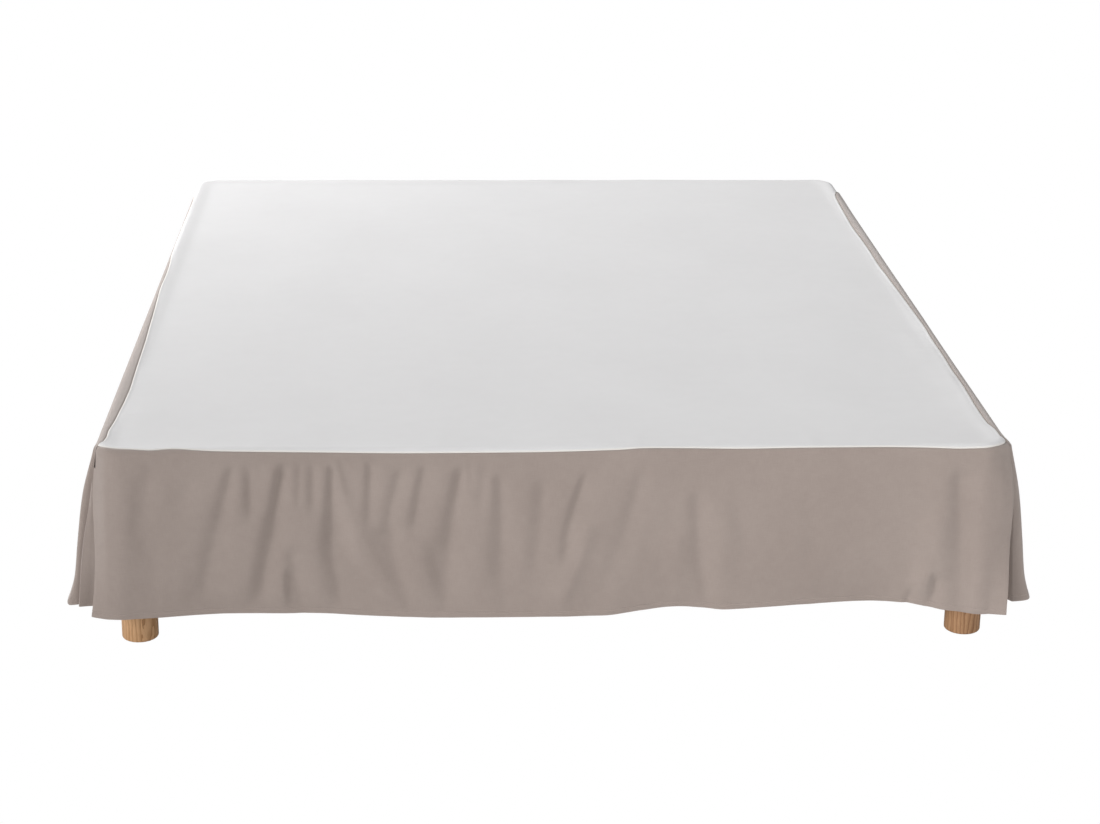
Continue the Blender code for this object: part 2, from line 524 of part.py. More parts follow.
def sheet_mesh(name, grid, kept, thickness):
    """A closed sheet of even thickness on the kept faces of a grid of middle points."""
    normal = grid_normals(grid, kept)
    loops = [((j, i), (j + 1, i), (j + 1, i + 1), (j, i + 1)) for j, i in np.argwhere(kept)]
    places = sorted({place for loop in loops for place in loop})
    edges = {(a, b) for loop in loops for a, b in zip(loop, loop[1:] + loop[:1])}
    mesh = bmesh.new()
    front = {at: mesh.verts.new(grid[at] + normal[at] * thickness / 2) for at in places}
    back = {at: mesh.verts.new(grid[at] - normal[at] * thickness / 2) for at in places}
    for a, b, c, d in loops:
        if np.linalg.norm(grid[a] - grid[c]) > np.linalg.norm(grid[b] - grid[d]):
            a, b, c, d = b, c, d, a
        for corners in ((a, b, c), (a, c, d)):
            mesh.faces.new([front[at] for at in corners])
            mesh.faces.new([back[at] for at in reversed(corners)])
    for a, b in sorted(edges):
        if (b, a) not in edges:
            mesh.faces.new((front[b], front[a], back[a], back[b]))
    return finish_mesh(name, mesh)


def finish_mesh(name, mesh):
    """Faces turned outwards, set over the part's middle, then one object."""
    bmesh.ops.recalc_face_normals(mesh, faces=mesh.faces)
    bmesh.ops.translate(mesh, vec=(0.0, CENTRE_Y, 0.0), verts=mesh.verts)
    data = bpy.data.meshes.new(name)
    mesh.to_mesh(data)
    mesh.free()
    thing = bpy.data.objects.new(name, data)
    bpy.context.scene.collection.objects.link(thing)
    return thing


def stack_mesh(name, loops):
    """A closed solid from level loops of points, each end closed by a fan."""
    mesh = bmesh.new()
    rings = [[mesh.verts.new(point) for point in loop] for loop in loops]
    count = len(rings[0])
    for low, high in zip(rings, rings[1:]):
        for i in range(count):
            k = (i + 1) % count
            mesh.faces.new((low[i], low[k], high[k], high[i]))
    for ring, loop in ((rings[0], loops[0]), (rings[-1], loops[-1])):
        middle = mesh.verts.new(np.mean(loop, axis=0))
        for i in range(count):
            mesh.faces.new((ring[i], ring[(i + 1) % count], middle))
    return finish_mesh(name, mesh)


def rounded_outline(inset, z):
    """The base's outline, drawn in by inset, at height z."""
    radius = BASE_CORNER - inset
    corner_x = BASE_WIDTH / 2 - BASE_CORNER
    corner_y = BASE_LENGTH / 2 - BASE_CORNER
    points = []
    for turn, (sx, sy) in enumerate(((1, 1), (-1, 1), (-1, -1), (1, -1))):
        for step in range(BASE_CORNER_STEPS + 1):
            angle = math.pi / 2 * (turn + step / BASE_CORNER_STEPS)
            points.append((sx * corner_x + radius * math.cos(angle),
                           sy * corner_y + radius * math.sin(angle), z))
    return points


def make_base():
    """The upholstered box, its long edges rounded over."""
    under_edge = BASE_EDGE / 2
    loops = [rounded_outline(under_edge, BASE_BOTTOM),
             rounded_outline(0.0, BASE_BOTTOM + under_edge)]
    for step in range(BASE_EDGE_STEPS + 1):
        angle = math.pi / 2 * step / BASE_EDGE_STEPS
        inset = BASE_EDGE * (1 - math.cos(angle))
        loops.append(rounded_outline(inset, FALL_TOP + BASE_EDGE * math.sin(angle)))
    return stack_mesh("base_box", loops)


def make_leg(name, x, y):
    """A turned leg with a rounded lower arris."""
    corner = LEG_ARRIS * (1 - math.sqrt(0.5))
    profile = [(LEG_RADIUS - LEG_ARRIS, 0.0), (LEG_RADIUS - corner, corner),
               (LEG_RADIUS, LEG_ARRIS), (LEG_RADIUS, BASE_BOTTOM - SEAT_GAP)]
    loops = []
    for radius, z in profile:
        loops.append([(x + radius * math.cos(2 * math.pi * i / LEG_SIDES),
                       y + radius * math.sin(2 * math.pi * i / LEG_SIDES), z)
                      for i in range(LEG_SIDES)])
    return stack_mesh(name, loops)


def rim_rows(reach):
    """Rows of one station of the platform sheet, from its edge inwards past the rim."""
    start = np.minimum(DECK_ROLL_PART * reach, ROLL_ARC)
    rows = [reach, start] + [start * part for part in DECK_RIM]
    rows = np.array(rows + [np.full(len(reach), place) for place in DECK_INNER])
    steps = np.array(DECK_FLAT_STEPS)[:, None]
    level = reach + (DECK_INNER[-1] - reach) * steps
    return np.where(reach < DECK_LEVEL_UNDER, level, rows)


def deck_stations():
    """Places round the platform sheet: each side's rim points, way out and edge reach."""
    corner = CORNER_FACE * math.pi / 2
    inner, n, reach = [], [], []

    def add(side, q, edge):
        at, out = side.rim(np.array(q))
        inner.append(at)
        n.append(out)
        reach.append(edge)

    foot_turn = list(np.linspace(0.0, FOOT_TURN, DECK_CORNER_STEPS))
    foot = [-FOOT.straight - t for t in foot_turn[::-1]]
    foot += [q for q in column(FOOT_SEAM, 0) if abs(q) < FOOT.straight]
    foot += [FOOT.straight + t for t in foot_turn]
    side_turn = list(np.linspace(0.0, corner - FOOT_TURN, SIDE_CORNER_STEPS))[:-1]
    head_turn = list(np.linspace(0.0, STRIP_HEAD_END - RIGHT.straight, DECK_CORNER_STEPS))
    sides = [-RIGHT.straight - t for t in side_turn[::-1]]
    sides += [q for q in column(SIDE_SEAM, 0) if abs(q) < RIGHT.straight]
    sides += [RIGHT.straight + t for t in head_turn]
    head_start = HEAD.straight + corner - (STRIP_HEAD_END - RIGHT.straight) - HEAD_TURN_RUN
    head_corner = list(np.linspace(HEAD.straight, head_start, DECK_CORNER_STEPS))
    head = [-q for q in head_corner[::-1]] + list(HEAD_PLACES) + head_corner
    add(FOOT, foot, seam_reach(FOOT_SEAM, 1, foot) - SEAM_GAP / 2)
    add(RIGHT, sides, seam_reach(SIDE_SEAM, 2, sides) - SEAM_GAP / 2)
    add(HEAD, head[::-1], np.full(len(head), ROLL_ARC + HEAD_TURN))
    add(LEFT, sides[::-1], seam_reach(SIDE_SEAM, 1, sides[::-1]) - SEAM_GAP / 2)
    return np.concatenate(inner), np.concatenate(n), np.concatenate(reach)


def make_deck():
    """The platform sheet: it meets the strips at the seam and turns down at the head."""
    inner, n, reach = deck_stations()
    rings = np.array([rolled(inner, n, row) for row in rim_rows(reach)])
    count = len(reach)
    closed = np.concatenate([rings, rings[:, :1]], axis=1)
    along = closed[:, 1:] - np.roll(closed[:, :-1], 1, axis=1)
    inward = np.gradient(rings, axis=0)
    normal = np.cross(inward, along)
    normal /= np.linalg.norm(normal, axis=2)[:, :, None]
    normal *= np.where(normal[-1:, :, 2:] < 0, -1.0, 1.0)
    normal[-1] = (0.0, 0.0, 1.0)
    mesh = bmesh.new()
    skins = []
    for way in (1, -1):
        layer = rings + normal * (way * CLOTH / 2)
        skins.append([[mesh.verts.new(layer[j, i]) for i in range(count)]
                      for j in range(len(rings))])
    for skin in skins:
        for j in range(len(rings) - 1):
            for i in range(count):
                k = (i + 1) % count
                mesh.faces.new((skin[j][i], skin[j][k], skin[j + 1][k], skin[j + 1][i]))
        mesh.faces.new(skin[-1])
    for i in range(count):
        k = (i + 1) % count
        mesh.faces.new((skins[0][0][i], skins[0][0][k], skins[1][0][k], skins[1][0][i]))
    return finish_mesh("deck", mesh)


def make_strips():
    """The three hanging strips with their ends folded into the corner pleats."""
    foot = strip_grid(FOOT, (FOOT_SEAM, 1), FOOT_LEFT_PLEAT, FOOT_HANG, FOOT_RIGHT_PLEAT, FOOT_FOLDS)
    left = strip_grid(LEFT, (SIDE_SEAM, 1), LEFT_PLEAT, LEFT_HANG, (), LEFT_FOLDS)
    right = strip_grid(RIGHT, (SIDE_SEAM, 2), RIGHT_PLEAT, RIGHT_HANG, (), RIGHT_FOLDS)
    return [sheet_mesh("skirt_front", *foot, CLOTH), sheet_mesh("skirt_left", *left, CLOTH),
            sheet_mesh("skirt_right", *right, CLOTH)]


def finish_of(name, colour, roughness):
    """A plain material."""
    material = bpy.data.materials.new(name)
    material.use_nodes = True
    shader = material.node_tree.nodes["Principled BSDF"]
    shader.inputs["Base Color"].default_value = (*colour, 1.0)
    shader.inputs["Roughness"].default_value = roughness
    return material


def main():
    for thing in list(bpy.data.objects):
        bpy.data.objects.remove(thing)
    base = make_base()
    legs = [make_leg(f"leg_{end}_{hand}", x, y)
            for end, y in (("front", -LEG_Y), ("back", LEG_Y))
            for hand, x in (("left", LEG_LEFT_X), ("right", LEG_RIGHT_X))]
    deck = make_deck()
    strips = make_strips()
    base.data.materials.append(finish_of("base_cloth", BASE_COLOUR, CLOTH_ROUGHNESS))
    deck.data.materials.append(finish_of("white_cloth", DECK_COLOUR, CLOTH_ROUGHNESS))
    for leg in legs:
        leg.data.materials.append(finish_of("oak", OAK_COLOUR, OAK_ROUGHNESS))
    for strip in strips:
        strip.data.materials.append(finish_of("taupe_cloth", TAUPE_COLOUR, CLOTH_ROUGHNESS))


main()
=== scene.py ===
# %% [markdown]
# # A bed skirt lying on its bed base
#
# A bed skirt is a flat white sheet with a strip of coloured cloth sewn round three of its sides.
# The sheet lies on the bed base, under the mattress, and the strips hang down and hide the legs.
# At each foot corner the cloth is folded back on itself in a pleat, so that the corner can open.
# This lesson dresses a fixed frame of plain solids: the frame gives the size and the place of
# every piece, and each cell below makes one piece or one finish around it.

# %% Load the frame
import math

import bmesh
import bpy
import numpy as np
from mathutils import Matrix, Vector


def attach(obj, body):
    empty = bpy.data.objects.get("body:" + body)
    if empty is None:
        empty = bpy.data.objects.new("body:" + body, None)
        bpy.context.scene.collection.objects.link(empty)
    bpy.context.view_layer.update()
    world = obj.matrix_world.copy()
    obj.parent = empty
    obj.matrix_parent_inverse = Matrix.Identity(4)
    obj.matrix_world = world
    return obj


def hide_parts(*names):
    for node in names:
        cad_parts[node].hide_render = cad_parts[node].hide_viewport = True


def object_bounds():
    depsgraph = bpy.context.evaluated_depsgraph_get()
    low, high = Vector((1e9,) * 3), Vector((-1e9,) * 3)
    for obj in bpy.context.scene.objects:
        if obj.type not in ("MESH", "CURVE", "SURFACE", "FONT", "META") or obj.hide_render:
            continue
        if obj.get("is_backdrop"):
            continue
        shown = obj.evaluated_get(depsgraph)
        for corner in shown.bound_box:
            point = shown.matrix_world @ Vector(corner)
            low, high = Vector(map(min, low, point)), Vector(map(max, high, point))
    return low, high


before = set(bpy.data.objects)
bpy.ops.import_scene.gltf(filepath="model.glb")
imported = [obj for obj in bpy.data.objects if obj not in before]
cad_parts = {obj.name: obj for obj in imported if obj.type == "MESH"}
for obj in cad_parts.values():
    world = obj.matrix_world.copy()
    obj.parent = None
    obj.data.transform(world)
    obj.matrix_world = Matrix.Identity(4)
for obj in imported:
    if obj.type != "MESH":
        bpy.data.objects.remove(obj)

frame_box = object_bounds()
print("pieces of the frame:", ", ".join(sorted(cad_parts)))

# %% [markdown]
# ## Where things are
#
# The sizes in this lesson are in metres. The tables are measured from the floor under the middle
# of the base, and the frame has everything moved a little towards the head, because the skirt
# stands out at the foot alone. One number holds that move, and every piece adds it once, when its
# mesh is made.

# %% Main sizes
CENTRE_Y = 0.013
BASE_WIDTH = 1.600
BASE_LENGTH = 2.000
BASE_TOP = 0.368
BASE_BOTTOM = 0.200
BASE_CORNER = 0.050
BASE_EDGE = 0.010
LEG_RADIUS = 0.0325
LEG_LEFT_X = -0.741
LEG_RIGHT_X = 0.748
LEG_Y = 0.950
SEAT_GAP = 0.0003
SHEET_LIFT = 0.0013
RIM_LIFT = 0.0036
RIM_FADE = 0.030
CLOTH = 0.0009

# %% [markdown]
# ## The camera
#
# A camera in Blender looks along its own -Z axis. Its three axes are worked out from a heading, a
# tilt and a small roll, and written into its matrix, so there is no need to aim it by hand. The
# lens is long and the camera stands well back, which keeps the bed's sides nearly straight.

# %% Camera
def put(name, data):
    """A new object of this name that holds the data, placed in the scene."""
    thing = bpy.data.objects.new(name, data)
    bpy.context.scene.collection.objects.link(thing)
    return thing


HEADING = math.radians(2.982)
TILT = math.radians(19.088)
ROLL = math.radians(0.688)
EYE = (-0.2123, -4.8398, 1.7690)

ahead = Vector((math.sin(HEADING) * math.cos(TILT), math.cos(HEADING) * math.cos(TILT),
                -math.sin(TILT)))
level = Vector((math.cos(HEADING), -math.sin(HEADING), 0.0))
upright = level.cross(ahead)
right = level * math.cos(ROLL) + upright * math.sin(ROLL)
up = upright * math.cos(ROLL) - level * math.sin(ROLL)

camera_data = bpy.data.cameras.new("camera")
camera_data.sensor_width = 36.0
camera_data.lens = 76.95
camera = put("camera", camera_data)
turn = Matrix((right, up, -ahead)).transposed().to_4x4()
camera.matrix_world = Matrix.Translation((EYE[0], EYE[1] + CENTRE_Y, EYE[2])) @ turn
bpy.context.scene.camera = camera
print("camera", [round(v, 3) for v in camera.matrix_world.translation], "lens", camera_data.lens)

# %% [markdown]
# ## Light and floor
#
# White cloth shows its shape only if the light comes more from one side than from the other. Soft
# lamps behind the head on the left brighten that corner of the sheet, and a low one beside them
# draws a light rim along the left strip. The far lamp, set like a large window low on the left,
# rakes along the hanging strip, so that every fold has a light side and a dark side. A spot lifts
# the right half, a weak low lamp fills from the front, and another, out to the right and a little
# toward the foot, keeps that side from going dark. The world adds an even light. The floor is a
# plain pale sheet, and it isn't part of the object.

# %% Lamps
# columns: name, kind, place, aim, size (metres, or degrees for the sun and the spot), strength
LAMPS = (
    ("window", "SUN", (-8.4, -4.5, 3.1), (0.0, 0.0, 0.0), 25.0, 1.5),
    ("right_lift", "SPOT", (-3.0, -6.5, 1.8), (0.9, -1.0, 0.15), 28.0, 300.0),
    ("low_fill", "AREA", (0.8, -4.2, 0.5), (0.2, -1.0, 0.2), 1.0, 12.0),
    ("back_left", "AREA", (-3.2, 3.0, 2.4), (-0.5, 0.6, 0.3), 2.0, 60.0),
    ("back_high", "AREA", (-1.6, 2.6, 3.0), (-0.4, 0.6, 0.3), 2.0, 24.0),
    ("overhead", "AREA", (0.0, 0.3, 4.0), (0.0, 0.0, 0.3), 3.0, 12.0),
    ("left_rim", "AREA", (-3.2, 3.6, 0.9), (-0.8, -0.2, 0.35), 1.0, 75.0),
    ("right_side", "AREA", (4.6, -2.0, 1.0), (0.83, -0.95, 0.2), 1.5, 30.0),
)
SPOT_SIZE = 0.6
for name, kind, place, aim, size, power in LAMPS:
    lamp_data = bpy.data.lights.new(name, kind)
    lamp_data.energy = power
    if kind == "AREA":
        lamp_data.shape = "DISK"
        lamp_data.size = size
    elif kind == "SPOT":
        lamp_data.spot_size = math.radians(size)
        lamp_data.spot_blend = 1.0
        lamp_data.shadow_soft_size = SPOT_SIZE
    else:
        lamp_data.angle = math.radians(size)
    lamp = put(name, lamp_data)
    lamp.location = place
    lamp.rotation_euler = (Vector(aim) - Vector(place)).to_track_quat("-Z", "Y").to_euler()

# %% World and floor
WORLD_LIGHT = 0.36
WORLD_SEEN = 1.0
world = bpy.data.worlds.new("studio")
world.use_nodes = True
bpy.context.scene.world = world
links = world.node_tree.links
nodes = world.node_tree.nodes
sky = nodes["Background"]
sky.inputs["Color"].default_value = (1.0, 1.0, 1.0, 1.0)
seen_by = nodes.new("ShaderNodeLightPath")
strength = nodes.new("ShaderNodeMix")
strength.inputs["A"].default_value = WORLD_LIGHT
strength.inputs["B"].default_value = WORLD_SEEN
links.new(seen_by.outputs["Is Camera Ray"], strength.inputs["Factor"])
links.new(strength.outputs["Result"], sky.inputs["Strength"])
bpy.context.scene.view_settings.view_transform = "Standard"

FLOOR_HALF = 20.0
floor_mesh = bpy.data.meshes.new("floor")
corners = [(-FLOOR_HALF, -FLOOR_HALF, 0), (FLOOR_HALF, -FLOOR_HALF, 0),
           (FLOOR_HALF, FLOOR_HALF, 0), (-FLOOR_HALF, FLOOR_HALF, 0)]
floor_mesh.from_pydata(corners, [], [(0, 1, 2, 3)])
floor = put("floor", floor_mesh)
floor_paint = bpy.data.materials.new("pale_floor")
floor_paint.use_nodes = True
nodes = floor_paint.node_tree.nodes
links = floor_paint.node_tree.links
matt = nodes["Principled BSDF"]
matt.inputs["Base Color"].default_value = (0.80, 0.80, 0.80, 1.0)
matt.inputs["Roughness"].default_value = 1.0
matt.inputs["Specular IOR Level"].default_value = 0.0
glow = nodes.new("ShaderNodeEmission")
blend = nodes.new("ShaderNodeMixShader")
seen_by = nodes.new("ShaderNodeLightPath")
links.new(seen_by.outputs["Is Camera Ray"], blend.inputs[0])
links.new(matt.outputs[0], blend.inputs[1])
links.new(glow.outputs[0], blend.inputs[2])
links.new(blend.outputs[0], nodes["Material Output"].inputs["Surface"])
floor.data.materials.append(floor_paint)
floor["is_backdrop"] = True
print("lamps:", ", ".join(row[0] for row in LAMPS))

# %% [markdown]
# ## Shader helpers
#
# Three effects are used by more than one finish, so each is a node group, made once and placed in
# each material with its own values: a plain weave, a soft mottle, and wood grain. A group only
# hands out colours, shades and heights. The Principled shader stays in the material.

# %% Small helpers for nodes
def new_group(name, inputs, outputs):
    """A shader node group with the named inputs and outputs, and its two end nodes."""
    group = bpy.data.node_groups.new(name, "ShaderNodeTree")
    for label, kind, value in inputs:
        socket = group.interface.new_socket(label, in_out="INPUT", socket_type=kind)
        if value is not None:
            socket.default_value = value
    for label, kind in outputs:
        group.interface.new_socket(label, in_out="OUTPUT", socket_type=kind)
    return group, group.nodes.new("NodeGroupInput"), group.nodes.new("NodeGroupOutput")


def maths(tree, operation, first, second=0.0, third=None):
    """A Math node; a number goes into its socket and a socket is linked to it."""
    node = tree.nodes.new("ShaderNodeMath")
    node.operation = operation
    for place, value in enumerate((first, second, third)):
        if value is None:
            continue
        if isinstance(value, (int, float)):
            node.inputs[place].default_value = value
        else:
            tree.links.new(value, node.inputs[place])
    return node.outputs[0]


def give(node, **values):
    """Set constants on a node's sockets; an underscore in a name stands for a space."""
    for label, value in values.items():
        node.inputs[label.replace("_", " ")].default_value = value


def noise(tree, place, scale, detail=2.0, roughness=0.5):
    """A noise value from 0 to 1 at this place."""
    node = tree.nodes.new("ShaderNodeTexNoise")
    tree.links.new(place, node.inputs["Vector"])
    give(node, Scale=scale, Detail=detail, Roughness=roughness)
    return node.outputs["Fac"]


def stretched(tree, place, scale):
    """The place multiplied along each of its three axes."""
    node = tree.nodes.new("ShaderNodeVectorMath")
    node.operation = "MULTIPLY"
    tree.links.new(place, node.inputs[0])
    node.inputs[1].default_value = scale
    return node.outputs[0]


# %% Plain weave
weave, given, made = new_group(
    "plain_weave",
    (("Place", "NodeSocketVector", None), ("Threads per metre", "NodeSocketFloat", 1100.0)),
    (("Height", "NodeSocketFloat"), ("Slub", "NodeSocketFloat")))
tree = weave
apart = tree.nodes.new("ShaderNodeSeparateXYZ")
tree.links.new(given.outputs["Place"], apart.inputs[0])
waves = []
for axis in (0, 1):
    angle = maths(tree, "MULTIPLY", apart.outputs[axis], given.outputs["Threads per metre"])
    waves.append(maths(tree, "SINE", maths(tree, "MULTIPLY", angle, math.pi)))
crossing = maths(tree, "MULTIPLY", waves[0], waves[1])
height = maths(tree, "MULTIPLY_ADD", crossing, 0.5, 0.5)
tree.links.new(height, made.inputs["Height"])
along = noise(tree, stretched(tree, given.outputs["Place"], (60.0, 900.0, 60.0)), 1.0)
across = noise(tree, stretched(tree, given.outputs["Place"], (900.0, 60.0, 60.0)), 1.0)
tree.links.new(maths(tree, "MULTIPLY_ADD", maths(tree, "ADD", along, across), 0.5, 0.0),
               made.inputs["Slub"])
print("group", weave.name)

# %% Soft mottle
mottle, given, made = new_group(
    "soft_mottle",
    (("Place", "NodeSocketVector", None), ("Scale", "NodeSocketFloat", 1.0)),
    (("Shade", "NodeSocketFloat"),))
tree = mottle
scaled = tree.nodes.new("ShaderNodeVectorMath")
scaled.operation = "SCALE"
tree.links.new(given.outputs["Place"], scaled.inputs[0])
tree.links.new(given.outputs["Scale"], scaled.inputs["Scale"])
wide = noise(tree, scaled.outputs[0], 4.0, 3.0)
fine = noise(tree, scaled.outputs[0], 38.0, 2.0)
tree.links.new(maths(tree, "MULTIPLY_ADD", fine, 0.3, maths(tree, "MULTIPLY", wide, 0.7)),
               made.inputs["Shade"])
print("group", mottle.name)

# %% Wood grain
grain, given, made = new_group(
    "wood_grain",
    (("Place", "NodeSocketVector", None), ("Rings per metre", "NodeSocketFloat", 110.0)),
    (("Rings", "NodeSocketFloat"), ("Pores", "NodeSocketFloat")))
tree = grain
drift = noise(tree, stretched(tree, given.outputs["Place"], (45.0, 45.0, 9.0)), 1.0, 3.0)
apart = tree.nodes.new("ShaderNodeSeparateXYZ")
tree.links.new(given.outputs["Place"], apart.inputs[0])
square = maths(tree, "ADD", maths(tree, "MULTIPLY", apart.outputs[0], apart.outputs[0]),
               maths(tree, "MULTIPLY", apart.outputs[1], apart.outputs[1]))
RING_DRIFT = 0.024
radius = maths(tree, "MULTIPLY_ADD", drift, RING_DRIFT, maths(tree, "SQRT", square))
saw = maths(tree, "FRACT", maths(tree, "MULTIPLY", radius, given.outputs["Rings per metre"]))
tree.links.new(maths(tree, "POWER", saw, 2.2), made.inputs["Rings"])
pores = noise(tree, stretched(tree, given.outputs["Place"], (1500.0, 1500.0, 45.0)),
              1.0, 2.0, 0.6)
tree.links.new(pores, made.inputs["Pores"])
print("group", grain.name)


# %% [markdown]
# ## The finishes
#
# The strips are a warm grey cloth of medium weight, quite matt, with a little sheen where it turns
# away from the eye. The sheet is a lighter, smoother white cotton. Both carry their weave on the
# cloth's own map, measured in metres along the threads, so that the weave turns with every fold.
# The base is covered in a plain pale linen, and the legs are oiled oak with upright grain.

# %% A helper that starts a material
def new_finish(name, colour, roughness):
    """A Principled material and the parts of it that the finishes below connect to."""
    material = bpy.data.materials.new(name)
    material.use_nodes = True
    shader = material.node_tree.nodes["Principled BSDF"]
    give(shader, Base_Color=(*colour, 1.0), Roughness=roughness)
    return material, material.node_tree, shader


def placed(tree, group, place, **values):
    """The node group in this tree, reading the place, with its values set."""
    node = tree.nodes.new("ShaderNodeGroup")
    node.node_tree = group
    tree.links.new(place, node.inputs["Place"])
    give(node, **values)
    return node


def two_tone(tree, factor, dark, light, low=0.0, high=1.0):
    """A colour that goes from dark to light as the factor goes from low to high."""
    ramp = tree.nodes.new("ShaderNodeValToRGB")
    for stop, spot, colour in zip(ramp.color_ramp.elements, (low, high), (dark, light)):
        stop.position = spot
        stop.color = (*colour, 1.0)
    tree.links.new(factor, ramp.inputs["Fac"])
    return ramp.outputs["Color"]


def mixed(tree, way, factor, first, second):
    """Two colours mixed in the named way."""
    node = tree.nodes.new("ShaderNodeMix")
    node.data_type = "RGBA"
    node.blend_type = way
    for socket, value in ((node.inputs["Factor"], factor), (node.inputs[6], first),
                          (node.inputs[7], second)):
        if isinstance(value, (int, float)):
            socket.default_value = value
        elif isinstance(value, tuple):
            socket.default_value = (*value, 1.0)
        else:
            tree.links.new(value, socket)
    return node.outputs[2]


def raised(tree, shader, height, strength, distance):
    """A bump from this height."""
    bump = tree.nodes.new("ShaderNodeBump")
    give(bump, Strength=strength, Distance=distance)
    tree.links.new(height, bump.inputs["Height"])
    tree.links.new(bump.outputs[0], shader.inputs["Normal"])


def cloth_place(tree):
    """The piece's own map, in metres along the threads."""
    node = tree.nodes.new("ShaderNodeUVMap")
    node.uv_map = "threads"
    return node.outputs[0]


def object_place(tree):
    """The place in the piece's own metres."""
    return tree.nodes.new("ShaderNodeTexCoord").outputs["Object"]


def woven(tree, place, patch_place, per_metre, patch_scale, dark, light):
    """Threads at this place, and the cloth's tone, which drifts softly from dark to light."""
    threads = placed(tree, weave, place, Threads_per_metre=per_metre)
    patches = placed(tree, mottle, patch_place, Scale=patch_scale)
    return threads, two_tone(tree, patches.outputs["Shade"], dark, light, 0.35, 0.65)


def slubbed(tree, tone, threads, shade, high):
    """The tone, darkened a little where a thread is thicker."""
    slubs = two_tone(tree, threads.outputs["Slub"], (shade,) * 3, (1.0,) * 3, 0.35, high)
    return mixed(tree, "MULTIPLY", 1.0, tone, slubs)


def attribute(tree, name):
    """A number kept on the mesh."""
    node = tree.nodes.new("ShaderNodeAttribute")
    node.attribute_name = name
    return node.outputs["Fac"]


# %% Skirt cloth
skirt_finish, tree, shader = new_finish("taupe_cloth", (0.40, 0.33, 0.30), 0.88)
give(shader, Sheen_Weight=0.55, Sheen_Roughness=0.50, Sheen_Tint=(1.0, 0.99, 0.98, 1.0),
     Specular_IOR_Level=0.25)
place = cloth_place(tree)
threads, tone = woven(tree, place, place, 1250.0, 1.4,
                      (0.365, 0.300, 0.268), (0.398, 0.330, 0.296))
tree.links.new(slubbed(tree, tone, threads, 0.94, 0.60), shader.inputs["Base Color"])
raised(tree, shader, threads.outputs["Height"], 0.16, 0.0003)
print("finish", skirt_finish.name)

# %% Platform cloth
sheet_finish, tree, shader = new_finish("white_cotton", (0.84, 0.84, 0.84), 0.86)
give(shader, Sheen_Weight=0.05, Specular_IOR_Level=0.25)
place = cloth_place(tree)
threads, tone = woven(tree, place, place, 1500.0, 0.8,
                      (0.832, 0.825, 0.828), (0.855, 0.849, 0.852))
near_seam = two_tone(tree, attribute(tree, "from_seam"), (1.0, 1.0, 1.0), (0.0, 0.0, 0.0),
                     0.0015, 0.0035)
tone = mixed(tree, "MIX", near_seam, tone, (0.86, 0.83, 0.78))
tree.links.new(tone, shader.inputs["Base Color"])
raised(tree, shader, threads.outputs["Height"], 0.10, 0.0002)
print("finish", sheet_finish.name)

# %% Thread, linen and oak
thread_finish, tree, shader = new_finish("sewing_thread", (0.50, 0.42, 0.38), 0.6)
place = object_place(tree)
twist = noise(tree, place, 2500.0, 1.0)
tree.links.new(two_tone(tree, twist, (0.44, 0.37, 0.335), (0.54, 0.46, 0.42)),
               shader.inputs["Base Color"])

linen_finish, tree, shader = new_finish("pale_linen", (0.72, 0.70, 0.66), 0.9)
give(shader, Specular_IOR_Level=0.2)
place = object_place(tree)
apart = tree.nodes.new("ShaderNodeSeparateXYZ")
tree.links.new(place, apart.inputs[0])
round_the_box = tree.nodes.new("ShaderNodeCombineXYZ")
tree.links.new(maths(tree, "ADD", apart.outputs[0], apart.outputs[1]), round_the_box.inputs[0])
tree.links.new(apart.outputs[2], round_the_box.inputs[1])
threads, tone = woven(tree, round_the_box.outputs[0], place, 700.0, 2.0,
                      (0.66, 0.64, 0.60), (0.74, 0.72, 0.68))
tree.links.new(slubbed(tree, tone, threads, 0.88, 0.62), shader.inputs["Base Color"])
raised(tree, shader, threads.outputs["Height"], 0.35, 0.0004)


def oak_finish(name, shift, lean, pale, dark):
    """Oiled oak: the growth rings are tubes round an upright axis that passes near the leg."""
    material, tree, shader = new_finish(name, (0.45, 0.28, 0.15), 0.48)
    give(shader, Specular_IOR_Level=0.35)
    mapping = tree.nodes.new("ShaderNodeMapping")
    give(mapping, Location=shift, Rotation=lean)
    tree.links.new(object_place(tree), mapping.inputs["Vector"])
    figure = placed(tree, grain, mapping.outputs[0], Rings_per_metre=130.0)
    wood = two_tone(tree, figure.outputs["Rings"], pale, dark, 0.1, 1.0)
    pores = two_tone(tree, figure.outputs["Pores"], (0.80, 0.76, 0.72), (1.0, 1.0, 1.0),
                     0.36, 0.50)
    tree.links.new(mixed(tree, "MULTIPLY", 0.85, wood, pores), shader.inputs["Base Color"])
    raised(tree, shader, figure.outputs["Pores"], 0.12, 0.0004)
    return material


print("finishes:", thread_finish.name, linen_finish.name)

# %% [markdown]
# ## The bed base
#
# Under the skirt is an ordinary upholstered base: a wooden box covered in plain linen. It starts
# as a cube. The bevel asks for the four upright edges, but the choice starts in vertex mode, where
# it spreads to all twelve. So every edge gets the same wide rounding of 50 mm, the level ones as
# well.
#
# The rows of insets after it were meant to round the level edges by 10 mm and 5 mm, and to set a
# dust cover into the underside. As it is they shape a low lip around the flat top and bottom, the
# flat underside lies 1.6 mm lower than planned, and there is no dust cover. The cloth follows the
# frame's sharper edges, which leaves a hollow of up to 24 mm under it at the corners. The legs,
# cut for the planned underside, enter it by up to 2 mm on their inner side and end up to 16.5 mm
# short of the rounded edge on their outer side. This is a known fault. With edge mode set before
# the choice, the bevel keeps to the four upright edges.

# %% Helpers for the modelled pieces
def start_piece(name):
    """Clear the selection, so that the next bpy.ops call makes or changes this piece alone."""
    if bpy.context.object and bpy.context.object.mode != "OBJECT":
        bpy.ops.object.mode_set(mode="OBJECT")
    bpy.ops.object.select_all(action="DESELECT")
    print("making", name)


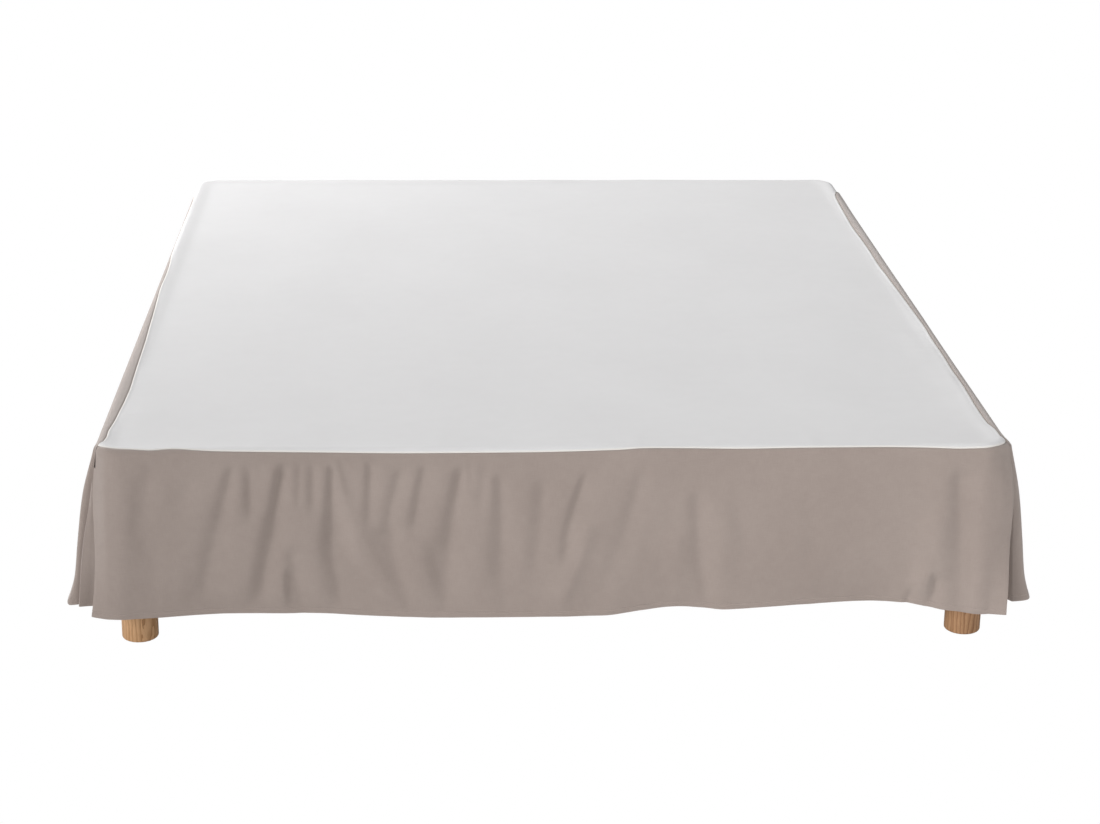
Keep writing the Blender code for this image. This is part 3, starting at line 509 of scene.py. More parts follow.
def pick(piece, mode, test):
    """Select the edges or faces that pass the test, ready for an edit-mode call."""
    bpy.ops.object.mode_set(mode="OBJECT")
    mesh = piece.data
    for group in (mesh.vertices, mesh.edges, mesh.polygons):
        group.foreach_set("select", [False] * len(group))
    for item in mesh.edges if mode == "EDGE" else mesh.polygons:
        item.select = test(item, [mesh.vertices[v].co for v in item.vertices])
    bpy.ops.object.mode_set(mode="EDIT")
    bpy.ops.mesh.select_mode(type=mode)


def declare(piece, node):
    """This piece rides on the one body and stands for a node of the frame."""
    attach(piece, "root")
    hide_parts(node)


# %% Bed base
LEVEL_FACE = 0.99
SAME_HEIGHT = 1e-4
UPRIGHT_DROP = 0.1
CORNER_SEGMENTS = 14
RIM_STEPS = 6
FOOT_STEPS = 3
COVER_INSET = 0.022
COVER_DEPTH = 0.0015
TACK_STRIP = 0.0010


def round_over(piece, up, radius, steps):
    """A row of small insets in the top or bottom face, each a little further out than the last."""
    pick(piece, "FACE", lambda face, ends: face.normal.z * up > LEVEL_FACE)
    for step in range(steps):
        before = math.pi / 2 * step / steps
        after = math.pi / 2 * (step + 1) / steps
        bpy.ops.mesh.inset(thickness=radius * (math.cos(before) - math.cos(after)),
                           depth=radius * (math.sin(after) - math.sin(before)))


start_piece("bed_base")
bpy.ops.mesh.primitive_cube_add(size=1.0)
bed_base = bpy.context.object
bed_base.name = "bed_base"
side_top = BASE_TOP - BASE_EDGE
side_bottom = BASE_BOTTOM + BASE_EDGE / 2
bed_base.scale = (BASE_WIDTH, BASE_LENGTH, side_top - side_bottom)
bed_base.location = (0.0, CENTRE_Y, (side_top + side_bottom) / 2)
bpy.ops.object.transform_apply(location=True, rotation=True, scale=True)

# asks for the four upright edges and gets all twelve, as told above
pick(bed_base, "EDGE", lambda edge, ends: abs(ends[0].z - ends[1].z) > UPRIGHT_DROP)
bpy.ops.mesh.bevel(offset=BASE_CORNER, segments=CORNER_SEGMENTS, profile=0.5)
round_over(bed_base, 1, BASE_EDGE, RIM_STEPS)
round_over(bed_base, -1, BASE_EDGE / 2, FOOT_STEPS)
bpy.ops.mesh.inset(thickness=COVER_INSET, depth=0.0)
bpy.ops.mesh.inset(thickness=TACK_STRIP, depth=-COVER_DEPTH)
bpy.ops.object.mode_set(mode="OBJECT")
bed_base.data.materials.append(linen_finish)
bpy.ops.object.shade_smooth_by_angle(angle=math.radians(40))
declare(bed_base, "base_box")
print("bed_base:", len(bed_base.data.polygons), "faces")

# %% [markdown]
# ## The legs
#
# Each leg is turned from a piece of oak and has a small rounded arris at the floor, so that it
# doesn't splinter when the bed is dragged. One leg is made, and the others are copies with their
# own mesh. Every leg gets its own cut through the growth rings: the grain is upright on all four,
# but the figure differs. The two left legs are painted a paler brown and the two right legs a
# darker
# one: painted light and painted shade on one oak.

# %% Legs
LEG_SIDES = 64
LEG_ARRIS = 0.004
TOP_ARRIS = 0.001
LEG_TOP = BASE_BOTTOM - SEAT_GAP
# One oak in two brightnesses: the left legs' colours are painted lighter and the right legs'
# darker. This is painted light and painted shade, not a difference in the wood.
OAK_PAINTED_LIGHTER = ((0.690, 0.420, 0.225), (0.430, 0.225, 0.100))
OAK_PAINTED_DARKER = ((0.470, 0.270, 0.145), (0.275, 0.140, 0.066))
LEGS = (
    # node, x, y, shift of the rings, lean of the rings, its two brown ring colours, painted lighter
    # on the left legs and darker on the right
    ("leg_front_left", LEG_LEFT_X, -LEG_Y, (0.800, 0.985, 0.02), (0.020, -0.012, 0.3), OAK_PAINTED_LIGHTER),
    ("leg_front_right", LEG_RIGHT_X, -LEG_Y, (-0.723, 0.960, 0.10), (0.055, 0.020, 0.0), OAK_PAINTED_DARKER),
    ("leg_back_left", LEG_LEFT_X, LEG_Y, (0.790, -0.900, 0.05), (-0.030, 0.018, 0.8), OAK_PAINTED_LIGHTER),
    ("leg_back_right", LEG_RIGHT_X, LEG_Y, (-0.697, -0.985, 0.00), (0.015, 0.040, 1.1), OAK_PAINTED_DARKER),
)

start_piece("leg")
bpy.ops.mesh.primitive_cylinder_add(vertices=LEG_SIDES, radius=LEG_RADIUS, depth=LEG_TOP,
                                    location=(0.0, 0.0, LEG_TOP / 2))
leg = bpy.context.object
bpy.ops.object.transform_apply(location=True, rotation=True, scale=True)
pick(leg, "EDGE", lambda edge, ends: max(e.z for e in ends) < SAME_HEIGHT)
bpy.ops.mesh.bevel(offset=LEG_ARRIS, segments=4, profile=0.5)
pick(leg, "EDGE", lambda edge, ends: min(e.z for e in ends) > LEG_TOP - SAME_HEIGHT)
bpy.ops.mesh.bevel(offset=TOP_ARRIS, segments=2, profile=0.5)
pick(leg, "FACE", lambda face, ends: abs(face.normal.z) > LEVEL_FACE)
bpy.ops.mesh.inset(thickness=LEG_RADIUS / 3)
bpy.ops.object.mode_set(mode="OBJECT")
bpy.ops.object.shade_smooth_by_angle(angle=math.radians(35))

legs = []
for node, *_ in LEGS:
    piece = leg
    if legs:
        start_piece(node)
        leg.select_set(True)
        bpy.context.view_layer.objects.active = leg
        bpy.ops.object.duplicate(linked=False)
        piece = bpy.context.object
        piece.data = legs[0].data.copy()
    piece.name = node + "_oak"
    legs.append(piece)
# Each leg's ring colours carry painted light on the left legs and painted shade on the right legs.
for piece, (node, x, y, shift, lean, browns_with_painted_light) in zip(legs, LEGS):
    piece.data.transform(Matrix.Translation((x, y + CENTRE_Y, 0.0)))
    piece.data.materials.clear()
    piece.data.materials.append(oak_finish(node.replace("leg", "oak"), shift, lean, *browns_with_painted_light))
    declare(piece, node)
print("legs:", len(legs), "of", len(leg.data.polygons), "faces")

# %% [markdown]
# ## How the cloth hangs
#
# A hanging strip is described the way it would be looked at: a seam line along the edge of the
# base, a lean at five heights below it, and the height of the hem. The leans change slowly along
# the strip, which gives it the wide waves of cloth that has been folded in a packet. At each foot
# corner the strip turns back on itself. Its path there is given point by point on five levels,
# from the layer hidden behind to the fold that shows. The numbers are the frame's own, so that the
# fine cloth lies on the frame's folds, with one exception: two hidden layers of the left pleat lie
# up to 3.6 mm further in. Behind that pleat's fold, about 4 cm below the seam, the foot strip and
# the left strip still cross in a hidden patch about 1 cm across.


# %% Seams, leans and pleats
LEVELS = (0.358, 0.270, 0.180, 0.115, 0.065)


def tenths(table):
    """A table in whole tenths of a millimetre as metres; its words and gaps stay as they are."""
    if isinstance(table, tuple):
        return tuple(tenths(cell) for cell in table)
    return table / 10000 if isinstance(table, int) else table


# columns: place along the foot, how far in from the edge the seam lies
FOOT_SEAM = tenths((
    (-8300, 35), (-8174, 47), (-8039, 73), (-7904, 102), (-7769, 123), (-7635, 132), (-7500, 130),
    (-7270, 101), (-7030, 79), (-6630, 120), (-6240, 78), (-5830, 55), (-4300, 33), (-2460, 17),
    (-470, 20), (1100, 43), (1580, 70), (2090, 66), (3260, 48), (4400, 60), (5680, 64),
    (6520, 49), (7110, 32), (7500, 38), (7770, 44), (7904, 42), (8039, 34), (8174, 30),
    (8300, 30),
))

# columns: place along the side, how far in the left seam lies, and the right seam
SIDE_SEAM = tenths((
    (-9850, 40, 30), (-9668, 47, 30), (-9584, 106, 74), (-9500, 146, 110), (-9250, 174, 114),
    (-9120, 170, 120), (-8960, 167, 154), (-8800, 178, 184), (-8500, 204, 196), (-7970, 225, 196),
    (-7300, 250, 180), (-6600, 260, 167), (-5800, 245, 178), (-4800, 228, 162), (-3800, 214, 164),
    (-2900, 189, 146), (-1700, 157, 164), (-600, 120, 180), (300, 96, 200), (1100, 108, 214),
    (2000, 95, 234), (3000, 45, 222), (4000, 34, 230), (5060, 34, 248), (6600, 50, 218),
    (7800, 55, 182), (8300, 36, 150), (8500, 18, 112), (8680, 4, 66), (8860, -8, 26),
    (9040, -35, 4), (9250, -65, -12), (9500, -100, -60), (10100, -120, -110),
))

# columns: place along the edge, lean outward at the five levels, height of the hem
FOOT_HANG = tenths((
    (-7680, 0, 120, 160, 180, 200, 627), (-7500, 0, 110, 140, 150, 160, 630),
    (-7000, 0, 80, 100, 110, 120, 640), (-6280, 0, 60, 70, 65, 60, 666),
    (-5710, 0, 55, 60, 50, 35, 678), (-4170, 0, 55, 60, 55, 50, 672),
    (-3370, 0, 70, 90, 100, 105, 646), (-2480, 0, 85, 120, 145, 160, 623),
    (-980, 0, 90, 130, 155, 175, 615), (800, 0, 90, 120, 145, 165, 620),
    (1530, 0, 60, 70, 60, 50, 670), (2150, 0, 40, 35, 0, -45, 714), (2600, 0, 45, 45, 25, 0, 694),
    (3040, 0, 60, 70, 65, 55, 668), (3680, 0, 45, 45, 30, 10, 689),
    (4400, 0, 35, 30, 0, -50, 714), (5680, 0, 30, 15, -50, -125, 749),
    (6220, 0, 35, 20, -35, -95, 736), (7000, 0, 80, 100, 105, 110, 645),
    (7500, 0, 115, 150, 180, 200, 600), (7680, 0, 136, 180, 212, 236, 600),
))

LEFT_HANG = tenths((
    (-8800, 0, 170, 290, 370, 430, 640), (-8000, 0, 85, 170, 210, 240, 650),
    (-6900, 0, 60, 90, 120, 140, 665), (-5400, 0, 80, 140, 190, 230, 640),
    (-3900, 0, 50, 70, 90, 100, 670), (-2300, 0, 70, 120, 170, 210, 645),
    (-600, 0, 90, 150, 200, 250, 630), (1200, 0, 50, 70, 80, 90, 675),
    (3000, 0, 65, 100, 140, 170, 655), (4700, 0, 85, 140, 190, 230, 640),
    (6400, 0, 50, 60, 70, 70, 680), (8000, 0, 60, 90, 120, 150, 660),
    (9000, 0, 80, 120, 160, 190, 650), (9600, 0, 80, 125, 165, 200, 648),
    (9910, 0, 80, 125, 165, 200, 648),
))

RIGHT_HANG = tenths((
    (-8800, 0, 170, 290, 370, 440, 640), (-8000, 0, 85, 160, 210, 250, 650),
    (-6600, 0, 65, 100, 130, 160, 655), (-5000, 0, 45, 60, 70, 80, 675),
    (-3300, 7, 80, 140, 190, 240, 635), (-1700, 26, 60, 90, 110, 130, 665),
    (0, 26, 50, 70, 80, 90, 680), (1700, 26, 85, 150, 200, 240, 640),
    (3500, 37, 60, 90, 120, 140, 660), (5200, 46, 75, 120, 170, 210, 645),
    (7000, 56, 64, 72, 90, 100, 672), (8500, 76, 84, 110, 150, 180, 655),
    (9500, 80, 88, 125, 165, 200, 648), (9910, 80, 88, 125, 165, 200, 648),
))

# columns: name, place on the edge (none where it is hidden), hem, x and y at the five levels
FOOT_LEFT_PLEAT = tenths((
    ("return_end", None, 640, (-7645, -10041), (-7645, -10060), (-7650, -10090), (-7650, -10095),
     (-7650, -10090)),
    ("return_mid", None, 635, (-7883, -9908), (-7880, -9950), (-7895, -10000), (-7910, -10030),
     (-7930, -10050)),
    ("turn", None, 640, (-7970, -9669), (-8040, -9790), (-8030, -9930), (-8073, -10007),
     (-8132, -10066)),
    ("tip", None, 640, (-8016, -9668), (-8082, -9802), (-8070, -9943), (-8107, -10029),
     (-8162, -10094)),
    ("fold", -8130, 640, (-7998, -9706), (-8030, -9855), (-8028, -9982), (-8078, -10051),
     (-8129, -10111)),
    ("shoulder", -7860, 625, (-7832, -9913), (-7860, -10055), (-7870, -10110), (-7880, -10140),
     (-7900, -10170)),
))

FOOT_RIGHT_PLEAT = tenths((
    ("shoulder", 7860, 600, (7832, -9913), (7880, -10100), (7860, -10150), (7840, -10200),
     (7820, -10240)),
    ("fold", 8140, 605, (8046, -9716), (8100, -10000), (8064, -10091), (8058, -10200),
     (8034, -10295)),
    ("tip", None, 605, (8048, -9684), (8125, -9974), (8096, -10073), (8094, -10192),
     (8071, -10296)),
    ("turn", None, 605, (8015, -9690), (8090, -9948), (8066, -10047), (8072, -10158),
     (8058, -10257)),
    ("return_mid", None, 620, (7884, -9907), (7890, -9965), (7895, -10030), (7890, -10080),
     (7880, -10120)),
    ("return_end", None, 630, (7645, -10041), (7645, -10065), (7650, -10100), (7650, -10120),
     (7650, -10130)),
))

LEFT_PLEAT = tenths((
    ("underlay_end", None, 655, (-7634, -9998), (-7637, -10015), (-7640, -10030), (-7645, -9990),
     (-7650, -9930)),
    ("underlay_mid", None, 650, (-7843, -9877), (-7878, -9890), (-7905, -9900), (-7940, -9850),
     (-7970, -9800)),
    ("underlay_out", None, 648, (-7973, -9694), (-7990, -9735), (-8040, -9760), (-8090, -9705),
     (-8135, -9640)),
    ("corner_under", None, 646, (-8030, -9700), (-8118, -9703), (-8168, -9700), (-8228, -9663),
     (-8268, -9626)),
    ("inner_lobe", -9672, 645, (-8007, -9669), (-8150, -9670), (-8315, -9670), (-8395, -9660),
     (-8440, -9655)),
    ("inner_back", -9650, 645, (-8013, -9648), (-8140, -9618), (-8305, -9618), (-8385, -9610),
     (-8430, -9600)),
    ("valley", -9615, 645, (-8022, -9614), (-8110, -9560), (-8235, -9540), (-8310, -9530),
     (-8370, -9520)),
    ("outer_lobe", -9560, 615, (-8060, -9560), (-8290, -9520), (-8425, -9510), (-8505, -9510),
     (-8640, -9505)),
    ("lobe_side", -9400, 650, (-8042, -9380), (-8300, -9340), (-8435, -9320), (-8530, -9310),
     (-8685, -9290)),
    ("lobe_end", -9130, 640, (-8034, -9130), (-8260, -9090), (-8400, -9070), (-8500, -9060),
     (-8600, -9040)),
))

RIGHT_PLEAT = tenths((
    ("underlay_end", None, 655, (7634, -9998), (7637, -10015), (7640, -10030), (7645, -10010),
     (7650, -9960)),
    ("underlay_mid", None, 650, (7843, -9877), (7878, -9890), (7905, -9900), (7930, -9880),
     (7950, -9840)),
    ("underlay_out", None, 660, (7952, -9704), (8040, -9725), (8080, -9735), (8110, -9730),
     (8140, -9700)),
    ("corner_under", None, 670, (7970, -9735), (8105, -9765), (8150, -9762), (8190, -9755),
     (8215, -9745)),
    ("lobe_front", -9672, 650, (7998, -9698), (8165, -9790), (8215, -9795), (8255, -9800),
     (8290, -9800)),
    ("outer_lobe", -9580, 650, (8105, -9590), (8290, -9670), (8410, -9690), (8485, -9710),
     (8600, -9720)),
    ("lobe_side", -9380, 670, (8065, -9380), (8310, -9440), (8430, -9450), (8515, -9460),
     (8660, -9470)),
    ("lobe_end", -9120, 640, (8034, -9120), (8265, -9150), (8400, -9150), (8490, -9150),
     (8600, -9150)),
))
print("seam rows", len(FOOT_SEAM), len(SIDE_SEAM), "lean rows", len(FOOT_HANG), len(LEFT_HANG),
      len(RIGHT_HANG))

# %% [markdown]
# ## The creases
#
# The waves above are wide and shallow. On top of them the cloth carries creases, where it was
# folded and where it was pulled by the seam. Each crease is one row of a table: where it runs at
# three heights, where it starts and ends, how deep it is, and how wide it is at the top and at the
# bottom. No two rows of a table are the same. The foot strip is nearly smooth from 0.35 m to 0.60
# m right of the middle, and has deep creases on both sides of that.

# %% Crease tables
FOLD_HEIGHTS = (0.350, 0.200, 0.070)
# columns, in mm: at_high, at_mid, at_low, from_z, to_z, depth (negative stands out), width of the
# left wall, width of the right wall; and last, how much wider the crease is at the bottom
FOOT_CREASES = (
    (-720, -734, -751, 322, 229, 3.5, 15, 26, 0.6),
    (-705, -716, -716, 344, 179, 3.0, 13, 27, 1.5), (-690, -709, -700, 179, 75, 2.6, 45, 9, 2.6),
    (-628, -658, -657, 312, 278, 3.8, 30, 13, 1.2),
    (-559, -597, -627, 337, 102, 7.7, 11, 18, 2.6),
    (-533, -530, -526, 337, 256, 9.8, 11, 35, 1.4),
    (-473, -500, -524, 339, 103, 12.8, 10, 23, 2.2), (-470, -470, -466, 144, 90, 6.9, 5, 20, 1.8),
    (-462, -462, -443, 184, 75, 7.8, 7, 45, 2.6), (-446, -451, -449, 343, 279, 5.1, 7, 12, 1.5),
    (-423, -424, -428, 340, 269, 8.4, 12, 15, 1.1), (-389, -393, -371, 340, 94, 12.8, 9, 33, 2.6),
    (-383, -352, -359, 353, 299, -4.3, 14, 6, 1.1),
    (-374, -345, -272, 227, 96, -9.0, 12, 45, 2.6),
    (-401, -333, -265, 330, 75, -3.6, 18, 18, 0.9), (-324, -326, -326, 343, 243, 6.4, 7, 17, 2.3),
    (-269, -295, -295, 331, 227, 6.9, 13, 17, 1.4),
    (-273, -288, -262, 227, 63, 12.0, 45, 13, 2.6), (-229, -249, -247, 334, 234, 7.1, 9, 22, 1.7),
    (-212, -212, -195, 192, 125, 6.6, 13, 20, 1.6),
    (-164, -185, -190, 333, 89, 10.1, 11, 16, 2.6), (-150, -146, -151, 351, 306, 1.8, 4, 9, 1.0),
    (-123, -138, -135, 336, 273, 4.9, 14, 14, 1.0), (-100, -111, -80, 216, 91, 2.7, 12, 27, 1.5),
    (-100, -93, -89, 320, 141, 8.6, 11, 18, 2.4), (-20, -30, -50, 306, 145, 5.1, 12, 10, 2.4),
    (57, 20, 14, 319, 166, 6.1, 6, 15, 2.6), (71, 49, 3, 230, 92, -9.0, 34, 21, 1.0),
    (155, 118, 69, 327, 61, 4.0, 11, 14, 2.6), (221, 214, 210, 208, 53, -7.8, 42, 18, 1.6),
    (244, 254, 276, 284, 80, 7.0, 12, 27, 1.7), (288, 333, 322, 278, 61, 5.7, 18, 32, 2.0),
    (443, 457, 433, 253, 139, 1.8, 17, 26, 1.4), (559, 559, 559, 360, 330, -0.2, 5, 4, 1.0),
    (640, 659, 632, 100, 62, 3.8, 4, 23, 1.3), (634, 675, 636, 238, 60, -8.8, 45, 18, 2.0),
    (676, 676, 689, 180, 93, 0.9, 12, 7, 0.8), (672, 682, 677, 127, 82, 12.5, 4, 45, 2.6),
    (712, 720, 731, 322, 56, 13.5, 18, 45, 1.5),
)
LEFT_CREASES = (
    (-735, -750, -760, 360, 40, 6.0, 18, 23, 1.3), (-610, -590, -600, 350, 60, 5.0, 15, 20, 1.5),
    (-440, -455, -440, 360, 40, 6.0, 16, 21, 1.4), (-300, -280, -275, 330, 90, 4.0, 18, 23, 1.2),
    (-130, -150, -160, 360, 40, 6.5, 17, 22, 1.4), (60, 50, 65, 350, 50, 4.5, 18, 23, 1.4),
    (230, 215, 205, 360, 40, 6.0, 15, 20, 1.5), (400, 415, 410, 330, 70, 4.0, 18, 23, 1.3),
    (560, 570, 590, 360, 40, 6.0, 16, 21, 1.4), (740, 725, 720, 350, 80, 4.5, 18, 23, 1.3),
    (-680, -672, -660, 352, 230, 1.8, 9, 12, 1.3), (-520, -505, -500, 300, 110, 2.2, 12, 16, 1.3),
    (-372, -380, -395, 350, 200, 2.0, 9, 12, 1.4), (-215, -205, -210, 345, 150, 2.4, 10, 13, 1.5),
    (-50, -62, -70, 352, 255, 1.6, 8, 10, 1.2), (140, 128, 120, 300, 90, 2.2, 13, 17, 1.4),
    (312, 320, 335, 350, 210, 2.1, 9, 12, 1.4), (492, 484, 480, 345, 120, 2.5, 11, 14, 1.5),
    (655, 660, 650, 352, 240, 1.7, 9, 12, 1.2), (830, 822, 815, 320, 100, 2.3, 12, 16, 1.4),
)
RIGHT_CREASES = (
    (-740, -725, -735, 350, 50, 5.5, 16, 21, 1.4), (-570, -585, -600, 360, 40, 6.0, 16, 21, 1.4),
    (-420, -410, -405, 330, 80, 4.5, 18, 23, 1.3), (-250, -240, -225, 360, 40, 6.0, 15, 20, 1.5),
    (-80, -95, -100, 340, 70, 4.0, 19, 25, 1.4), (85, 95, 90, 360, 40, 6.5, 16, 21, 1.4),
    (260, 250, 235, 340, 60, 4.5, 17, 22, 1.4), (430, 440, 445, 360, 40, 6.0, 16, 21, 1.4),
    (610, 600, 600, 340, 70, 4.5, 18, 23, 1.4), (780, 790, 780, 350, 50, 5.0, 17, 22, 1.4),
    (-655, -662, -670, 350, 220, 1.9, 9, 12, 1.3), (-498, -490, -480, 310, 100, 2.3, 12, 16, 1.3),
    (-335, -330, -320, 352, 240, 1.7, 8, 10, 1.4), (-165, -158, -150, 345, 130, 2.4, 11, 14, 1.5),
    (2, -4, 5, 350, 250, 1.6, 9, 12, 1.1), (172, 180, 178, 300, 90, 2.1, 13, 17, 1.4),
    (345, 352, 360, 352, 215, 2.0, 9, 12, 1.3), (520, 512, 505, 345, 110, 2.5, 11, 14, 1.5),
    (700, 690, 684, 350, 235, 1.8, 9, 12, 1.3), (870, 860, 865, 310, 100, 2.2, 12, 16, 1.3),
)
print("creases:", len(FOOT_CREASES), len(LEFT_CREASES), len(RIGHT_CREASES))


# %% [markdown]
# ## Curves
#
# Two kinds of curve are enough. One runs through the rows of a table without ever overshooting
# them, so that a hem given as level stays level. The other rounds the corners of the pleat's path,
# where the cloth doubles back within a few millimetres.

# %% Curves through tables
def column(table, index):
    """One column of a table."""
    return [row[index] for row in table]


def bend(u, step, here, there, leaving, arriving):
    """A smooth run from here to there, with the slopes it leaves and arrives with."""
    start = (1 + 2 * u) * (1 - u) ** 2 * here + u * (1 - u) ** 2 * step * leaving
    end = u * u * (3 - 2 * u) * there + u * u * (u - 1) * step * arriving
    return start + end


def curve(xs, ys, at):
    """A smooth curve through the rows. With a table of ys, each column is read at its own place."""
    xs = np.asarray(xs, float)
    ys = np.asarray(ys, float)
    single = ys.ndim == 1
    ys = ys[:, None] if single else ys
    at = np.clip(np.asarray(at, float), xs[0], xs[-1])
    step = np.diff(xs)
    slope = np.diff(ys, axis=0) / step[:, None]
    both = slope[:-1] * slope[1:] > 0
    tangent = np.zeros_like(ys)
    total = np.where(both, slope[:-1] + slope[1:], 1.0)
    tangent[1:-1] = np.where(both, 2 * slope[:-1] * slope[1:] / total, 0.0)
    tangent[0] = slope[0]
    tangent[-1] = slope[-1]
    i = np.clip(np.searchsorted(xs, at, side="right") - 1, 0, len(step) - 1)
    k = 0 if single else np.arange(ys.shape[1])
    u = (at - xs[i]) / step[i]
    return bend(u, step[i], ys[i, k], ys[i + 1, k], tangent[i, k], tangent[i + 1, k])


def smooth(low, high, value):
    """0 at low, 1 at high, an S-curve between."""
    u = np.clip((value - low) / (high - low), 0.0, 1.0)
    return u * u * (3 - 2 * u)


def through(values, knots, places):
    """A rounded path through the values; a place is a value's number and how far on from it."""
    values = np.asarray(values, float)
    k = np.clip(np.floor(places).astype(int), 0, len(knots) - 2)
    u = (places - k)[:, None]
    span = (knots[k + 1] - knots[k])[:, None]
    before = np.maximum(k - 1, 0)
    after = np.minimum(k + 2, len(knots) - 1)
    slope_in = (values[k + 1] - values[before]) / (knots[k + 1] - knots[before])[:, None]
    slope_out = (values[after] - values[k]) / (knots[after] - knots[k])[:, None]
    return bend(u, span, values[k], values[k + 1], slope_in, slope_out)


# %% The edges of the base
ROLL_RADIUS = BASE_EDGE + RIM_LIFT
ROLL_ARC = ROLL_RADIUS * math.pi / 2
CORNER_INNER = BASE_CORNER - BASE_EDGE
CORNER_FACE = BASE_CORNER + RIM_LIFT
FALL_TOP = BASE_TOP - BASE_EDGE


class Side:
    """One edge of the base: the way along it, the way out from it, and how far it reaches."""

    def __init__(self, along, out, straight, reach):
        self.along = np.array(along, float)
        self.out = np.array(out, float)
        self.straight = straight
        self.reach = reach

    def rim(self, q):
        """The line where the cloth starts to roll over the edge, and the way out from it."""
        flat = np.clip(q, -self.straight, self.straight)
        angle = (q - flat) / CORNER_FACE
        n = np.outer(np.cos(angle), self.out) + np.outer(np.sin(angle), self.along)
        centre = np.outer(flat, self.along) + self.out * (self.reach - CORNER_INNER)
        return centre + n * CORNER_INNER, n


HALF_X = BASE_WIDTH / 2 - BASE_EDGE
HALF_Y = BASE_LENGTH / 2 - BASE_EDGE
FOOT = Side((1, 0), (0, -1), HALF_X - CORNER_INNER, HALF_Y)
LEFT = Side((0, 1), (-1, 0), HALF_Y - CORNER_INNER, HALF_X)
RIGHT = Side((0, 1), (1, 0), HALF_Y - CORNER_INNER, HALF_X)
HEAD = Side((1, 0), (0, 1), HALF_X - CORNER_INNER, HALF_Y)


def seam_reach(table, index, q):
    """How far past the rim line the seam lies, measured along the rolled cloth."""
    inset = np.array(column(table, index))
    in_roll = ROLL_RADIUS * np.arcsin(np.clip((ROLL_RADIUS - inset) / ROLL_RADIUS, 0.0, 1.0))
    reach = np.where(inset < 0, ROLL_ARC - inset, in_roll)
    reach = np.where(inset > ROLL_RADIUS, ROLL_RADIUS - inset, reach)
    return curve(column(table, 0), reach, q)


def rolled(inner, n, reach):
    """The cloth this far past the rim line: on top, in the roll, or below it."""
    angle = np.clip(reach / ROLL_RADIUS, 0.0, math.pi / 2)
    out = np.where(reach < 0, reach, ROLL_RADIUS * np.sin(angle))
    drop = np.maximum(reach - ROLL_ARC, 0.0)
    z = FALL_TOP + ROLL_RADIUS * np.cos(angle) - drop
    lift = (RIM_LIFT - SHEET_LIFT) * smooth(0.0, RIM_FADE, -reach)
    return np.column_stack([inner + n * out[:, None], z - lift])


print("rolled edge", round(ROLL_ARC * 1000, 1), "mm of cloth round a corner of",
      round(ROLL_RADIUS * 1000, 1), "mm")


# %% [markdown]
# ## The shape of a crease
#
# A crease in thick cotton isn't a sine wave. One wall is steeper than the other, and the cloth
# swells a little on each side before it lies flat again. The crease also fades out at both ends.
# The same profile serves every row of the tables, and only the numbers change.

# %% Crease depth
LEFT_WALL = 1.8
RIGHT_WALL = 1.3
ROUND_BOTTOM = 0.25
TOP_FADE = (0.017, 0.011)
LOW_FADE = (0.030, 0.020)


def crease_depth(table, along, z):
    """How far the cloth is pushed in at each place by all the creases of a table, in metres."""
    total = np.zeros_like(along)
    for *line, depth, left, right, spread in table:
        high, mid, low, from_z, to_z = (cell / 1000 for cell in line)
        centre = curve(FOLD_HEIGHTS[::-1], (low, mid, high), z)
        widen = np.interp(z, (FOLD_HEIGHTS[2], FOLD_HEIGHTS[0]), (spread, 1.0))
        off = (along - centre) * 1000 / widen
        u = np.hypot(np.where(off < 0, off / left, off / right), ROUND_BOTTOM)
        wall = np.where(off < 0, LEFT_WALL, RIGHT_WALL)
        shape = np.exp(ROUND_BOTTOM ** wall - u ** wall)
        fade = smooth(from_z + TOP_FADE[0], from_z - TOP_FADE[1], z)
        fade = fade * smooth(to_z - LOW_FADE[0], to_z + LOW_FADE[1], z)
        total -= depth / 1000 * shape * fade
    return total


def level_out(depth, reach):
    """Take away the local mean, so that the creased cloth keeps its place on the whole."""
    window = np.hanning(2 * reach + 1)
    padded = np.pad(depth, ((0, 0), (reach, reach)), mode="edge")
    mean = np.array([np.convolve(row, window / window.sum(), "valid") for row in padded])
    return depth - mean


WAVE_COUNT = 9
WAVE_TURN = 0.35


def soft_waves(seed, along, down, shortest, longest, height):
    """Small uneven waves, the same every time for one seed."""
    chance = np.random.default_rng(seed)
    total = np.zeros_like(along)
    for _ in range(WAVE_COUNT):
        length = chance.uniform(shortest, longest)
        heading = chance.normal(0.0, WAVE_TURN)
        phase = chance.uniform(0.0, 2 * math.pi)
        total += np.sin(2 * math.pi / length * (along + heading * down) + phase)
    return total * height / math.sqrt(WAVE_COUNT)


test = crease_depth(FOOT_CREASES, np.linspace(-0.75, 0.75, 301), np.full(301, 0.20))
print("deepest crease at mid height", round(float(-test.min()) * 1000, 1), "mm")


# %% [markdown]
# ## From a grid to a sheet
#
# Each strip is a grid: rows run from the seam to the hem, and columns run along the strip. Rows
# are closer together at the seam and at the hem, where a machined edge has small features: the
# seam sinks between its two cloths, and the doubled hem stands a little proud below its line of
# stitches.

# %% Stations along a strip
MAIN_STEP = 0.0045
CORNER_STEP = 0.0030
PLEAT_STEP = 0.0022
SEAM_GAP = 0.0004
SEAM_STEP = 0.004
HIDDEN_FROM = 0.10
STITCH_LINE = 0.0095
LEVEL_REACH = 0.090
FACE_SPARE = 0.0022
SEAM_FADE = 0.011
HEM_BAND = 0.018
PLEAT_FADE = (0.004, 0.030)
FREE_BELOW = 0.005
DEEPEST_FREE = 0.020
FINE_WAVES = (0.028, 0.085, 0.00015)
LOOSE_FROM = 0.02
HEM_ROWS = (0.0140, 0.0120, 0.0108, 0.0102, 0.0096, 0.0090, 0.0084, 0.0060, 0.0030, 0.0012, 0.0)
ROLL_ROWS = (-0.05, 0.0, 0.03, 0.07, 0.12, 0.20, 0.30, 0.42, 0.55, 0.68, 0.80, 0.90)


